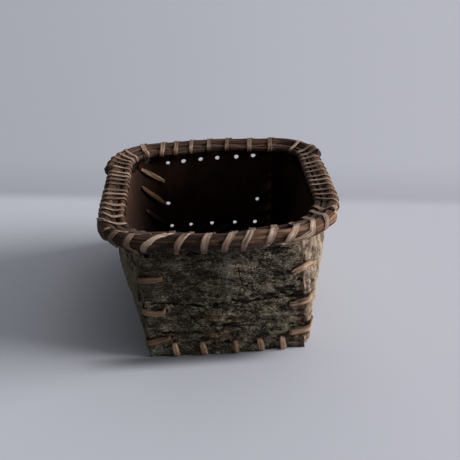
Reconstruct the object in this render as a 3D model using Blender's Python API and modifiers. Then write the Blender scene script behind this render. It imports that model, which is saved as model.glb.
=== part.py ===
# Walnut bark box: five sheets of bark laced together with flat bark strips, open at the top,
# with a rim of vine rods lashed round the mouth. Metres, +Z up. The origin is on the floor under
# the middle of the base, the short front end faces -Y and the long sides face -X and +X.

import math

import bmesh
import bpy
from mathutils import Matrix, Vector

# Bark sheets
BARK = 0.003  # thickness of every sheet
BASE_WIDTH = 0.120  # across the outer faces of the side sheets, on the floor
BASE_DEPTH = 0.182  # across the outer faces of the end sheets, on the floor
MOUTH_WIDTH = 0.167  # across the outer faces of the side sheets, at the rim
MOUTH_SKEW = 0.0025  # the mouth is out of square: its front lies this far to the left, its back to the right
FRONT_PINCH = 0.003  # and each of its sides comes in this far at the front
END_TOP_WIDTH = 0.120  # the end sheets' own width at the rim
END_SHIFT = -0.0028  # the end sheets lean this far to the left at the rim
FRONT_LEAN = 0.008  # the front sheet leans in this far at the rim
BACK_LEAN = 0.010
FLOOR_BOW = 0.0015  # an end sheet's middle stands out from its edges, on the floor
MOUTH_BOW = 0.004  # and at the rim
MOUTH_CORNER = 0.030  # radius of the side sheets' bend round the corners of the mouth
WIDE_CORNER = 0.044  # the same round the front right corner, which is rounder than the others
FRONT_RIM = 0.100  # floor to the middle of the rim rods, at the front
BACK_RIM = 0.096
RIDGE = 0.003  # the sheets stand up between the rods, above the rods' middle
FLARE_POWER = 0.95  # the side sheets open a little faster near the floor than at the rim
LEFT_BOW = 0.0022  # halfway up, the left sheet stands out this far from its even slope
GAP = 0.0003  # between pieces that touch
SEAM_GAP = 0.0006  # between a side sheet's edge and the end sheet that covers it

# Rim rods
OUTER_ROD = 0.0105  # diameter of the outer vine rods
INNER_ROD = 0.0060  # diameter of the inner hoop
ROD_END_GAP = 0.0012  # between the ends of two rods
ROD_TAPER_SHARE = 0.9  # thin end of an outer rod over its thick end
ROD_STOP_SHARE = 1 / 3  # least length of a rod's first and last piece, over its diameter

# Flat strips
STRIP = 0.0010  # thickness of every strip
LASHING_WIDTH = 0.0050
LASHING_LIFT = 0.0015  # from an outer rod's surface to the middle of the strip on it
HOOP_LIFT = 0.0021  # the same at the inner hoop, where the strip spans the hollow of the bends
LACE_WIDTH = 0.0052
STITCH_WIDTH = 0.0044  # of the stitches round the floor's edge
THREADED_WIDTH = 0.0022  # where a strip is drawn through a hole
TAIL = 0.007  # a strip's loose end inside the box
HOLE = 0.0034  # diameter of every awl hole
MOUTH_LIFT = 0.0028  # a strip at the mouth of its hole, from the middle of the sheet
HOLE_REACH = 0.005  # how far a drill reaches to each side of a sheet's middle

# Places of the holes
RIM_HOLE_DROP = 0.013  # rim holes, below the rods' middle
END_HOLES = 7
END_HOLES_SHARE = 0.94  # the row of rim holes in an end, over the mouth's straight run there
CORNER_HOLE_SHARE = 0.38  # the rim hole next to that run, over the length of the corner's bend
SIDE_WRAPS = 13
LASHING_END_SHARE = 0.8  # a lashing's own end, on the way from its last hole to the next one's first
LACE_HEIGHT_SHARES = (0.675, 0.405, 0.157)  # the three stitches up each corner, over the rim's height
LACE_INSET = 0.015  # a corner hole, in from the end sheet's edge
LACE_REACH = 0.0105  # a corner hole in the side sheet, past the end sheet's edge
STITCH_HEIGHT = 0.0115  # base holes in the walls
END_STITCH_SHARES = (0.167, 0.342, 0.546, 0.7, 0.846)  # stitches under an end, across the base
SIDE_STITCHES = 7
SIDE_STITCHES_SHARE = 0.67  # the row of stitches under a side, over the base's depth
STITCH_INSET = 0.0075  # base holes, in from the wall's inner face
GROOVE = 0.0016  # depth of the groove that the stitch lies in, under the floor
GROOVE_SPARE = 0.0008  # the groove's spare width on each side of the strip

# Shares and counts of the meshes
NUDGE_SHARE = 0.01  # how far apart the points lie that give a sheet's direction
NEAR_SHARE = 1 / 3  # a strip's bend close to its hole
SLACK_SHARES = (0.2, 0.8)  # a strip's bends on its way across the inside
APART_SHARE = 2.2  # stretches of a strip this many widths apart count as separate ones
BEND_SPARE_SHARE = 0.95  # of a side sheet's bend, where its columns lie closer together
SHEET_ROWS = 6
BEND_STEPS = 7
WIDE_BEND_STEPS = 10
RUN_STEPS = 3
END_COLUMN_SHARES = (0, 0.045, 0.1, 0.17, 0.32, 0.5, 0.68, 0.83, 0.9, 0.955, 1)
ROD_BEND_STEPS = 8
ROD_RUN_STEPS = 6
HOLE_SIDES = 6
OUTER_ANGLES = (-48, -14, 20, 55, 90)  # degrees, round the outer rod
INNER_ANGLES = (90, 122, 155, 188, 220)  # degrees, round the inner hoop

FRONT, BACK, LEFT, RIGHT = -1, 1, -1, 1
UP = Vector((0, 0, 1))


def mix(low, high, share):
    return low + (high - low) * share


def rim_height(y):
    """Height of the rods' middle over the floor at a place from front to back."""
    return mix(FRONT_RIM, BACK_RIM, y / BASE_DEPTH + 0.5)


def out_of_square(x, y, t):
    """A point of a square box as it lies in the real one, whose mouth is skewed and pinched."""
    front_share = 0.5 - y / BASE_DEPTH
    pinch = 1 - 2 * FRONT_PINCH / MOUTH_WIDTH * front_share * t
    return Vector((x * pinch + MOUTH_SKEW * (1 - 2 * front_share) * t, y, t * rim_height(y)))


def corner_radius(side, end):
    return WIDE_CORNER if (side, end) == (RIGHT, FRONT) else MOUTH_CORNER


def bend_start(radius, t):
    """Distance from the middle where the bend of a corner starts that has this radius at the mouth."""
    return mix(BASE_WIDTH - BARK, MOUTH_WIDTH - BARK - 2 * radius, t) / 2


def end_depth(end, x, t):
    """Distance from the middle of the box to an end sheet's middle surface, at x and height share t."""
    side = LEFT if x < 0 else RIGHT
    straight = bend_start(corner_radius(side, end), t)
    lean = FRONT_LEAN if end == FRONT else BACK_LEAN
    bow = mix(FLOOR_BOW, MOUTH_BOW, t) * (1 + math.cos(math.pi * min(1, abs(x) / straight))) / 2
    radius = corner_radius(side, end) + BARK + SEAM_GAP
    past = max(0, abs(x) - straight)
    turned_in = t * (radius - math.sqrt(radius**2 - past**2))
    return (BASE_DEPTH - BARK) / 2 - lean * t + bow - turned_in


def end_edge(side, t):
    """X of an end sheet's left or right edge."""
    return side * mix(BASE_WIDTH, END_TOP_WIDTH, t) / 2 + END_SHIFT * t


def end_sheet(end):
    def point(x, t):
        return out_of_square(x, end * end_depth(end, x, t), t)

    return point


def side_half(side, t):
    """Distance from the middle of the box to a side sheet's middle surface."""
    bow = LEFT_BOW * math.sin(math.pi * t) ** 2 if side == LEFT else 0
    return mix(BASE_WIDTH - BARK, MOUTH_WIDTH - BARK, t**FLARE_POWER) / 2 + bow


def bend(side, end, t):
    """A side sheet's bend, which starts behind the end sheet's edge: radius, first x, y and heading."""
    radius = corner_radius(side, end)
    half = side_half(side, t)
    sine = max(0, min(1, 1 - (half - bend_start(MOUTH_CORNER, t)) / radius))
    heading = math.asin(sine)
    x = half - radius * (1 - sine)
    face = end_depth(end, side * x, t) - BARK / 2
    return radius, x, face - SEAM_GAP - BARK / 2 * math.cos(heading), heading


def side_spans(side, t):
    """Lengths of a side sheet's front bend, straight run and back bend, and the run's first y."""
    bends, ends = [], []
    for end in (FRONT, BACK):
        radius, _, y, heading = bend(side, end, t)
        bends.append(radius * (math.pi / 2 - heading))
        ends.append(y - radius * math.cos(heading))
    return bends[0], ends[0] + ends[1], bends[1], -ends[0]


def side_sheet(side):
    """A point of a side sheet, by its share of the way from the front edge to the back edge."""

    def point(along, t):
        front, run, back, first = side_spans(side, t)
        gone = along * (front + run + back)
        if front <= gone <= front + run:
            x, y = side_half(side, t), first + gone - front
        else:
            end = FRONT if gone < front else BACK
            radius, x, y, heading = bend(side, end, t)
            turned = heading + (gone if end == FRONT else front + run + back - gone) / radius
            x += radius * (math.sin(turned) - math.sin(heading))
            y = end * (y - radius * (math.cos(heading) - math.cos(turned)))
        return out_of_square(side * x, y, t)

    return point


def wall_spot(kind, where, place, t):
    """A point of a wall's middle surface, the way out there and the way up."""
    sheet = end_sheet(where) if kind == "end" else side_sheet(where)
    nudge = NUDGE_SHARE * (BASE_WIDTH if kind == "end" else 1)
    along = sheet(place + nudge, t) - sheet(place - nudge, t)
    up = (sheet(place, t + NUDGE_SHARE) - sheet(place, t - NUDGE_SHARE)).normalized()
    out = along.cross(up).normalized()
    point = sheet(place, t)
    if out.x * point.x + out.y * point.y < 0:
        out.negate()
    return point, out, up


# The mouth's ring, as distance along the sheets from the middle of the front, to the right first


def end_run(side, end):
    """Length of an end's straight run at the mouth, from its middle to one side."""
    return MOUTH_WIDTH / 2 - BARK / 2 - corner_radius(side, end)


def bend_length(side, end):
    return corner_radius(side, end) * math.pi / 2


def sheet_run(side, end):
    """The way from an end's middle to the side sheet's edge, tucked behind the end sheet."""
    return end_run(side, end) + corner_radius(side, end) * bend(side, end, 1)[3]


ROUND = ((RIGHT, FRONT), (RIGHT, BACK), (LEFT, BACK), (LEFT, FRONT))  # the corners in the ring's order
LAPS = [end_run(RIGHT, FRONT)]
for corner_number, corner in enumerate(ROUND):
    LAPS.append(bend_length(*corner))
    between = side_spans(corner[0], 1)[1] if corner_number % 2 == 0 else end_run(*corner)
    LAPS.append(between + (end_run(LEFT, BACK) if corner == (RIGHT, BACK) else 0))
BORDERS = [sum(LAPS[: lap + 1]) for lap in range(len(LAPS))]
RING = BORDERS[-1]
HALF_TURN = BORDERS[3] + end_run(RIGHT, BACK)  # to the middle of the back
SIDE_LAPS = {2: RIGHT, 6: LEFT}
BACK_LAP = 4
CORNER_HOLE = CORNER_HOLE_SHARE * MOUTH_CORNER * math.pi / 2


def ring_place(s):
    """The kind of sheet under a distance round the mouth, which one it is, and the place on it."""
    s = s % RING
    for side, first, last in ((RIGHT, 0, HALF_TURN), (LEFT, HALF_TURN, RING)):
        ends = (FRONT, BACK) if side == RIGHT else (BACK, FRONT)
        if first <= s < last:
            start, finish = first + sheet_run(side, ends[0]), last - sheet_run(side, ends[1])
            if start <= s < finish:
                along = (s - start) / (finish - start)
                return "side", side, along if side == RIGHT else 1 - along
            end = ends[0] if s < start else ends[1]
            x = s - first if s < start else last - s
            past = max(0, x - end_run(side, end)) / corner_radius(side, end)
            return "end", end, side * (min(x, end_run(side, end)) + corner_radius(side, end) * math.sin(past))


def rod_centre(s, outer):
    """Middle of the outer rods or of the inner hoop, at a distance round the mouth."""
    s = s % RING
    lap = next(i for i, border in enumerate(BORDERS) if s < border)
    gone = s - BORDERS[lap] + LAPS[lap]
    radius = (OUTER_ROD if outer else INNER_ROD) / 2
    wide = MOUTH_WIDTH / 2 + GAP + radius if outer else MOUTH_WIDTH / 2 - BARK - SEAM_GAP - radius

    def deep(side, end, x):
        if outer:
            return end_depth(end, x, 1) + BARK / 2 + GAP + radius
        run = end_run(side, end)
        hollow = BARK * (1 + math.cos(math.pi * x / run)) / 2
        bow = end_depth(end, x, 1) - end_depth(end, side * run, 1)
        return end_depth(end, side * run, 1) - 2 * BARK - 2 * SEAM_GAP + BARK / 2 - radius + bow + hollow

    def corner_middle(side, end):
        return deep(side, end, side * end_run(side, end)) - wide + end_run(side, end)

    side, end = ROUND[lap // 2 % len(ROUND)]
    if lap % 2:
        turned = gone / corner_radius(side, end)
        if side * end == 1:
            turned = math.pi / 2 - turned
        x = side * (end_run(side, end) + (wide - end_run(side, end)) * math.sin(turned))
        y = end * (corner_middle(side, end) + (wide - end_run(side, end)) * math.cos(turned))
    elif lap in SIDE_LAPS:
        x = SIDE_LAPS[lap] * wide
        ends = [end * corner_middle(SIDE_LAPS[lap], end) for end in (FRONT, BACK)]
        y = mix(*(ends if SIDE_LAPS[lap] == RIGHT else ends[::-1]), gone / LAPS[lap])
    else:
        end = BACK if lap == BACK_LAP else FRONT
        x = (HALF_TURN - s) if end == BACK else s if lap == 0 else s - RING
        y = end * deep(LEFT if x < 0 else RIGHT, end, x)
    return out_of_square(x, y, 1)


def ring_stops(start, finish):
    """Distances round the mouth for a rod, closer together round the corners."""
    stops = [start]
    border = 0
    for lap in range(3 * len(LAPS)):
        length = LAPS[lap % len(LAPS)]
        steps = ROD_BEND_STEPS if lap % len(LAPS) % 2 else ROD_RUN_STEPS
        for step in range(steps):
            s = border + length * step / steps - RING
            if start + ROD_STOP_SHARE * OUTER_ROD < s < finish - ROD_STOP_SHARE * OUTER_ROD:
                stops.append(s)
        border += length
    return stops + [finish]


# Objects

def material(name, colour, roughness):
    made = bpy.data.materials.new(name)
    made.use_nodes = True
    shader = made.node_tree.nodes["Principled BSDF"]
    shader.inputs["Base Color"].default_value = (*colour, 1)
    shader.inputs["Roughness"].default_value = roughness
    shader.inputs["Metallic"].default_value = 0
    return made


def new_object(name, mesh, collection):
    made = bpy.data.objects.new(name, mesh)
    collection.objects.link(made)
    return made


def sheet_mesh(name, rows):
    """An open surface through rows of points, one column of faces between each pair."""
    shape = bmesh.new()
    grid = [[shape.verts.new(point) for point in row] for row in rows]
    for low, high in zip(grid, grid[1:]):
        for i in range(len(low) - 1):
            shape.faces.new((low[i], low[i + 1], high[i + 1], high[i]))
    mesh = bpy.data.meshes.new(name)
    shape.to_mesh(mesh)
    shape.free()
    return mesh


def solidify(thing, thickness):
    wall = thing.modifiers.new("thickness", "SOLIDIFY")
    wall.thickness = thickness
    wall.offset = 0
    wall.use_even_offset = True


def cut(thing, cutter):
    taken = thing.modifiers.new(cutter.name, "BOOLEAN")
    taken.object = cutter
    taken.operation = "DIFFERENCE"
    taken.solver = "EXACT"


def as_cutter(name, shape, cutters):
    mesh = bpy.data.meshes.new(name)
    shape.to_mesh(mesh)
    shape.free()
    made = new_object(name, mesh, cutters)
    made.hide_render = True
    made.display_type = "WIRE"
    return made


def drill(shape, spot, direction, reach):
    turned = direction.to_track_quat("Z", "Y").to_matrix().to_4x4()
    bmesh.ops.create_cone(
        shape,
        cap_ends=True,
        segments=HOLE_SIDES,
        radius1=HOLE / 2,
        radius2=HOLE / 2,
        depth=2 * reach,
        matrix=Matrix.Translation(spot) @ turned,
    )


def block(shape, low, high):
    size = [b - a for a, b in zip(low, high)]
    middle = [(a + b) / 2 for a, b in zip(low, high)]
    made = bmesh.ops.create_cube(shape, size=1)
    bmesh.ops.scale(shape, vec=size, verts=made["verts"])
    bmesh.ops.translate(shape, vec=middle, verts=made["verts"])


def top_share(sheet, place):
    """Height share of a sheet's top edge, which stands up between the rods."""
    return 1 + RIDGE / sheet(place, 1).z


def wall_object(name, rows, finish, parts):
    made = new_object(name, sheet_mesh(name, rows), parts)
    made.data.materials.append(finish)
    solidify(made, BARK)
    return made


def end_object(name, end, finish, parts):
    sheet = end_sheet(end)
    top = top_share(sheet, 0)
    shares = END_COLUMN_SHARES[::-1] if end == FRONT else END_COLUMN_SHARES
    rows = []
    for row in range(SHEET_ROWS + 1):
        t = row / SHEET_ROWS * top
        rows.append([sheet(mix(end_edge(LEFT, t), end_edge(RIGHT, t), share), t) for share in shares])
    return wall_object(name, rows, finish, parts)


def side_object(name, side, finish, parts):
    sheet = side_sheet(side)
    front, run, back, _ = side_spans(side, 1)
    near, far = (BEND_SPARE_SHARE * length / (front + run + back) for length in (front, back))
    steps = WIDE_BEND_STEPS if side == RIGHT else BEND_STEPS
    places = [near * i / steps for i in range(steps)]
    places += [mix(near, 1 - far, i / RUN_STEPS) for i in range(RUN_STEPS)]
    places += [mix(1 - far, 1, i / BEND_STEPS) for i in range(BEND_STEPS + 1)]
    if side == RIGHT:
        places.reverse()
    rows = []
    for row in range(SHEET_ROWS + 1):
        share = row / SHEET_ROWS
        rows.append([sheet(place, share * top_share(sheet, place)) for place in places])
    return wall_object(name, rows, finish, parts)


def base_object(finish, parts):
    """The floor sheet, inside the walls and flush with their lower edges."""
    half = BASE_WIDTH / 2 - BARK - SEAM_GAP
    deep = BASE_DEPTH / 2 - BARK - SEAM_GAP
    shape = bmesh.new()
    block(shape, (-half, -deep, 0), (half, deep, BARK))
    mesh = bpy.data.meshes.new("base_panel")
    shape.to_mesh(mesh)
    shape.free()
    made = new_object("base_panel", mesh, parts)
    made.data.materials.append(finish)
    return made


def rod(name, diameter, stops, outer, thin_share, finish, parts):
    curve = bpy.data.curves.new(name, "CURVE")
    curve.dimensions = "3D"
    curve.bevel_depth = diameter / 2
    curve.bevel_resolution = 3 if outer else 2
    curve.use_fill_caps = True
    path = curve.splines.new("POLY")
    path.points.add(len(stops) - 1)
    for i, s in enumerate(stops):
        path.points[i].co = (*rod_centre(s, outer), 1)
        path.points[i].radius = mix(1, thin_share, i / (len(stops) - 1))
    made = new_object(name, curve, parts)
    made.data.materials.append(finish)
    return made


def least_gap(stops):
    """Least clear distance between two stretches of a strip that lie over two widths apart along it."""
    spots, gaps, run = [], [], 0
    for i, (point, across, width) in enumerate(stops):
        if i:
            run += (point - stops[i - 1][0]).length
        for share in (-0.5, 0, 0.5):
            spots.append((run, point + across * width * share))
    for i, (start, near) in enumerate(spots):
        gaps += [(near - far).length for end, far in spots[i:] if end - start > APART_SHARE * LASHING_WIDTH]
    return min(gaps) - STRIP


def strip(name, path, finish, parts):
    """A flat strip along (point, direction of its width, width), drawn square to its own path."""
    stops = []
    for i, (point, across, width) in enumerate(path):
        ahead = path[min(i + 1, len(path) - 1)][0] - path[max(i - 1, 0)][0]
        ahead.normalize()
        across = (across - ahead * across.dot(ahead)).normalized()
        stops.append((point, across, width))
    rows = [[p - a * (w / 2), p + a * (w / 2)] for p, a, w in stops]
    made = new_object(name, sheet_mesh(name, rows), parts)
    made.data.materials.append(finish)
    solidify(made, STRIP)
    print(name, "least gap to itself, mm:", round(least_gap(stops) * 1000, 2))
    return made


# Rim lashings

def wrap_frame(s):
    """The rods' middles, the way out and the way along the rim at a distance round the mouth."""
    outer = rod_centre(s, True)
    inner = rod_centre(s, False)
    out = outer - inner
    out.z = 0
    out.normalize()
    return outer, inner, out, UP.cross(out)


def rim_hole(s):
    kind, where, place = ring_place(s)
    height = wall_spot(kind, where, place, 1)[0].z
    return wall_spot(kind, where, place, 1 - RIM_HOLE_DROP / height)


def wrap(s, finish_s):
    """From the hole at s up over the rods, moving along the rim, to the inside above finish_s."""
    path = []
    total = len(OUTER_ANGLES) + len(INNER_ANGLES)
    for i, degrees in enumerate(OUTER_ANGLES + INNER_ANGLES):
        outer, inner, out, along = wrap_frame(mix(s, finish_s, (i + 1) / (total + 1)))
        on_outer = i < len(OUTER_ANGLES)
        centre = outer if on_outer else inner
        reach = OUTER_ROD / 2 + LASHING_LIFT if on_outer else INNER_ROD / 2 + HOOP_LIFT
        turned = math.radians(degrees)
        point = centre + out * reach * math.cos(turned) + UP * reach * math.sin(turned)
        path.append((point, along, LASHING_WIDTH))
    return path


def through(hole, along, width=THREADED_WIDTH):
    """A strip's way out through a hole, from the inner face to the outer."""
    spot, out, _ = hole
    return [(spot + out * side * MOUTH_LIFT, along, width) for side in (-1, 1)]


def tail(hole, side, along, width):
    """The loose end of a strip inside the box, along the sheet to its hole."""
    spot, out, up = hole
    inside = spot - out * (BARK / 2 + STRIP + 2 * GAP)
    return [(inside + up * side * TAIL * share, along, width) for share in (1, NEAR_SHARE)]


def lashing(name, holes, last, finish, parts):
    path = tail(rim_hole(holes[0]), -1, wrap_frame(holes[0])[3], LASHING_WIDTH)
    for i, s in enumerate(holes):
        path += through(rim_hole(s), wrap_frame(s)[3])
        path += wrap(s, holes[i + 1] if i + 1 < len(holes) else last)
    outer, inner, out, along = wrap_frame(last)
    path.append((inner - out * (INNER_ROD / 2 + STRIP) - UP * TAIL, along, LASHING_WIDTH))
    return strip(name, path, finish, parts)


def end_holes(middle, before, after):
    """Rim holes along an end and in the bends at its two corners, in the ring's order."""
    start, finish = middle - sheet_run(*before), middle + sheet_run(*after)
    spare = (1 - END_HOLES_SHARE) / 2
    run = [mix(start, finish, mix(spare, 1 - spare, i / (END_HOLES - 1))) for i in range(END_HOLES)]
    return [start - CORNER_HOLE] + run + [finish + CORNER_HOLE]


def side_holes(start, finish):
    return [mix(start, finish, (i + 1) / (SIDE_WRAPS + 1)) for i in range(SIDE_WRAPS)]


# Corner lacings

def side_spot(side, end, distance, t):
    """Share along a side sheet at a distance from its edge at one end."""
    share = distance / sum(side_spans(side, t)[:3])
    return share if end == FRONT else 1 - share


def lace_holes(side, end):
    """Pairs of holes in the end sheet and the side sheet, from the top stitch down."""
    found = []
    for t in LACE_HEIGHT_SHARES:
        edge = end_edge(side, t)
        place = side_spot(side, end, abs(edge) - bend(side, end, t)[1] + LACE_REACH, t)
        first = wall_spot("end", end, edge - side * LACE_INSET, t)
        found.append((t, first, wall_spot("side", side, place, t)))
    return found


def corner_lacing(name, side, end, finish, parts):
    lift = BARK / 2 + STRIP + GAP
    holes = lace_holes(side, end)
    ahead = Vector((side, 0, 0))
    path = tail(holes[0][1], 1, ahead, LACE_WIDTH)
    for i, (t, first, second) in enumerate(holes):
        path += through(first, UP)
        edge = end_edge(side, t)
        corner, out, _ = wall_spot("end", end, edge, t)
        past = out.cross(UP) * side * end
        place = side_spot(side, end, abs(edge) - bend(side, end, t)[1] + LACE_REACH / 2, t)
        halfway, halfway_out, _ = wall_spot("side", side, place, t)
        path.append((mix(first[0], corner, NEAR_SHARE) + out * lift, UP, LACE_WIDTH))
        path.append((corner + out * lift, UP, LACE_WIDTH))
        path.append((corner + past * (STRIP + 2 * GAP) + out * BARK / 2, UP, LACE_WIDTH))
        path.append((halfway + halfway_out * lift, UP, LACE_WIDTH))
        path += list(reversed(through(second, UP)))
        if i + 1 == len(holes):
            path += list(reversed(tail(second, -1, Vector((0, end, 0)), LACE_WIDTH)))
        else:
            following = holes[i + 1][1]
            goal = following[0] - following[1] * lift
            leaving = second[0] - second[1] * lift
            path += [(mix(leaving, goal, share), UP, LACE_WIDTH) for share in SLACK_SHARES]
    return strip(name, path, finish, parts)


# Stitches round the floor's edge

def stitch_places(kind):
    """Places along a wall, from the middle."""
    if kind == "end":
        return [BASE_WIDTH * (share - 0.5) for share in END_STITCH_SHARES]
    last = SIDE_STITCHES_SHARE * BASE_DEPTH / 2
    return [mix(-last, last, i / (SIDE_STITCHES - 1)) for i in range(SIDE_STITCHES)]


def wall_point(kind, where, place, height):
    """A wall's middle surface over a place along it and a height, and the ways out and up there."""
    if kind == "end":
        return wall_spot(kind, where, place, height / rim_height(where * BASE_DEPTH / 2))
    t = height / rim_height(place)
    front, run, back, first = side_spans(where, t)
    return wall_spot(kind, where, (front + place - first) / (front + run + back), t)


def floor_hole(kind, where, place):
    inset = BARK + STITCH_INSET
    if kind == "end":
        return Vector((place, where * (BASE_DEPTH / 2 - inset), BARK / 2))
    return Vector((where * (BASE_WIDTH / 2 - inset), place, BARK / 2))


def base_lacing(name, kind, where, finish, parts):
    along = Vector((1, 0, 0)) if kind == "end" else Vector((0, 1, 0))
    level = Vector((0, where, 0)) if kind == "end" else Vector((where, 0, 0))
    lift = BARK / 2 + STRIP + GAP
    places = stitch_places(kind)
    path = tail(wall_point(kind, where, places[0], STITCH_HEIGHT), 1, along, STITCH_WIDTH)
    for i, place in enumerate(places):
        hole = wall_point(kind, where, place, STITCH_HEIGHT)
        low, low_out, _ = wall_point(kind, where, place, GROOVE * 2)
        floor = floor_hole(kind, where, place)
        path += through(hole, along)
        edge = Vector((low.x, low.y, GROOVE / 2)) + level * (BARK / 2 + STRIP - GAP)
        path.append((mix(hole[0], low, NEAR_SHARE) + low_out * lift, along, STITCH_WIDTH))
        path.append((low + low_out * lift, along, STITCH_WIDTH))
        path.append((edge, along, STITCH_WIDTH))
        under = Vector((floor.x, floor.y, GROOVE / 2))
        path.append((under + level * HOLE, along, STITCH_WIDTH))
        path.append((under, along, THREADED_WIDTH))
        path.append((floor + UP * (BARK / 2 + STRIP), along, THREADED_WIDTH))
        rise = floor + UP * (BARK / 2 + 2 * STRIP)
        if i + 1 < len(places):
            following = wall_point(kind, where, places[i + 1], STITCH_HEIGHT)
            goal = following[0] - following[1] * lift
            path.append((mix(rise, goal, SLACK_SHARES[0]), along, STITCH_WIDTH))
            path.append((mix(rise, goal, SLACK_SHARES[1]) - level * STRIP / 2, along, STITCH_WIDTH))
        else:
            path += [(rise - level * TAIL * share, along, STITCH_WIDTH) for share in (NEAR_SHARE, 1)]
    return strip(name, path, finish, parts)


def groove_cutter(name, kind, where, cutters):
    shape = bmesh.new()
    half = STITCH_WIDTH / 2 + GROOVE_SPARE
    for place in stitch_places(kind):
        floor = floor_hole(kind, where, place)
        far = (BASE_DEPTH if kind == "end" else BASE_WIDTH) / 2 + 2 * BARK
        near = abs(floor.y if kind == "end" else floor.x)
        low, high = sorted((where * near, where * far))
        if kind == "end":
            block(shape, (place - half, low, -GROOVE), (place + half, high, GROOVE))
        else:
            block(shape, (low, place - half, -GROOVE), (high, place + half, GROOVE))
    return as_cutter(name, shape, cutters)


def floor_cutter(cutters):
    """What lies below the floor, where the walls' leaning lower edges are cut flat."""
    shape = bmesh.new()
    block(shape, (-BASE_DEPTH, -BASE_DEPTH, -BARK), (BASE_DEPTH, BASE_DEPTH, 0))
    return as_cutter("below_floor", shape, cutters)


def hole_cutter(name, holes, cutters):
    shape = bmesh.new()
    for spot, out, _ in holes:
        drill(shape, spot, out, HOLE_REACH)
    return as_cutter(name, shape, cutters)


def main():
    for thing in list(bpy.data.objects):
        bpy.data.objects.remove(thing, do_unlink=True)
    parts = bpy.data.collections.new("walnut_bark_box")
    cutters = bpy.data.collections.new("cutters")
    for collection in (parts, cutters):
        bpy.context.scene.collection.children.link(collection)

    end_bark = material("grey_bark", (0.10, 0.09, 0.07), 0.9)
    side_bark = material("tan_bark", (0.24, 0.20, 0.14), 0.9)
    floor_bark = material("inner_bark", (0.12, 0.06, 0.035), 0.75)
    vine = material("vine", (0.16, 0.09, 0.05), 0.6)
    lace = material("bark_strip", (0.42, 0.29, 0.19), 0.65)

    lashings = {"front": end_holes(0, ROUND[3], ROUND[0]), "back": end_holes(HALF_TURN, *ROUND[1:3])}
    lashings["right"] = side_holes(lashings["front"][-1], lashings["back"][0])
    lashings["left"] = side_holes(lashings["back"][-1], lashings["front"][0] + RING)
    rim_holes = {name: [rim_hole(s) for s in holes] for name, holes in lashings.items()}
    corners = {
        f"{'front' if end == FRONT else 'back'}_{'left' if side == LEFT else 'right'}": (side, end)
        for end in (FRONT, BACK)
        for side in (LEFT, RIGHT)
    }

    panels = {}
    for name, end in (("front", FRONT), ("back", BACK)):
        panels[name] = end_object(f"{name}_panel", end, end_bark, parts)
    for name, side in (("left", LEFT), ("right", RIGHT)):
        panels[name] = side_object(f"{name}_panel", side, side_bark, parts)
    base = base_object(floor_bark, parts)

    below_floor = floor_cutter(cutters)
    names = ("front", "right", "back", "left")
    walls = (("end", FRONT), ("side", RIGHT), ("end", BACK), ("side", LEFT))
    for name, (kind, where) in zip(names, walls):
        places = stitch_places(kind)
        holes = [wall_point(kind, where, place, STITCH_HEIGHT) for place in places]
        if kind == "side":
            ends = [rim_holes[end][i] for end in ("front", "back") for i in (0, -1)]
            holes += rim_holes[name] + [hole for hole in ends if hole[0].x * where > 0]
        else:
            holes += rim_holes[name][1:-1]
        for side, end in corners.values():
            if kind == "end" and end == where:
                holes += [first for _, first, _ in lace_holes(side, end)]
            if kind == "side" and side == where:
                holes += [second for _, _, second in lace_holes(side, end)]
        cut(panels[name], below_floor)
        cut(panels[name], hole_cutter(f"{name}_holes", holes, cutters))
        groove = groove_cutter(f"{name}_grooves", kind, where, cutters)
        cut(panels[name], groove)
        cut(base, groove)
        floor_holes = [(floor_hole(kind, where, place), UP, UP) for place in places]
        cut(base, hole_cutter(f"{name}_floor_holes", floor_holes, cutters))

    splits = [BORDERS[lap] - LAPS[lap] / 2 for lap in (1, 3, 5, 7)]
    starts = [splits[-1] - RING] + splits[:-1]
    for name, start, finish in zip(names, starts, splits):
        stops = ring_stops(start + ROD_END_GAP / 2, finish - ROD_END_GAP / 2)
        rod(f"outer_rod_{name}", OUTER_ROD, stops, True, ROD_TAPER_SHARE, vine, parts)
    hoop = ring_stops(splits[2] + ROD_END_GAP / 2 - RING, splits[2] - ROD_END_GAP / 2)
    rod("inner_hoop", INNER_ROD, hoop, False, 1, vine, parts)

    for i, name in enumerate(names):
        following = lashings[names[(i + 1) % len(names)]][0]
        if following < lashings[name][-1]:
            following += RING
        last = mix(lashings[name][-1], following, LASHING_END_SHARE)
        lashing(f"rim_lashing_{name}", lashings[name], last, lace, parts)
    for name, (side, end) in corners.items():
        corner_lacing(f"corner_lacing_{name}", side, end, lace, parts)
    for name, (kind, where) in zip(names, walls):
        base_lacing(f"base_lacing_{name}", kind, where, lace, parts)


main()
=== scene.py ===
# Walnut bark box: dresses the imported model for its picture. Metres, +Z up, front towards -Y.

import math
import random

import bpy
import numpy as np
from mathutils import Matrix, Vector


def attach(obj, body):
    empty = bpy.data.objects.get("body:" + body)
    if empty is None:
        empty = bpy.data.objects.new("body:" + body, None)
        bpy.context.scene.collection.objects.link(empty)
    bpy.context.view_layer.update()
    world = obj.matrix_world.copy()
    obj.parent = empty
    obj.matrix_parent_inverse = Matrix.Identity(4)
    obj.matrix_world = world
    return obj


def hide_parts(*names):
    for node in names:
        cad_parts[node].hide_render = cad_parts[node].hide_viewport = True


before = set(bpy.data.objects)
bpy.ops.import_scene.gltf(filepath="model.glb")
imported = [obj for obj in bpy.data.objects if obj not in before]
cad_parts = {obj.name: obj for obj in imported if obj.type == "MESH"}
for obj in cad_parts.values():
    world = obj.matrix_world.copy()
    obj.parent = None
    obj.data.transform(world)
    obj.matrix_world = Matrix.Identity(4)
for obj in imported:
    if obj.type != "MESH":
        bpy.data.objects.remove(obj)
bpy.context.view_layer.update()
scene = bpy.context.scene
body = "root"
up = Vector((0, 0, 1))
front, back, left, right = -1, 1, -1, 1


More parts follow.
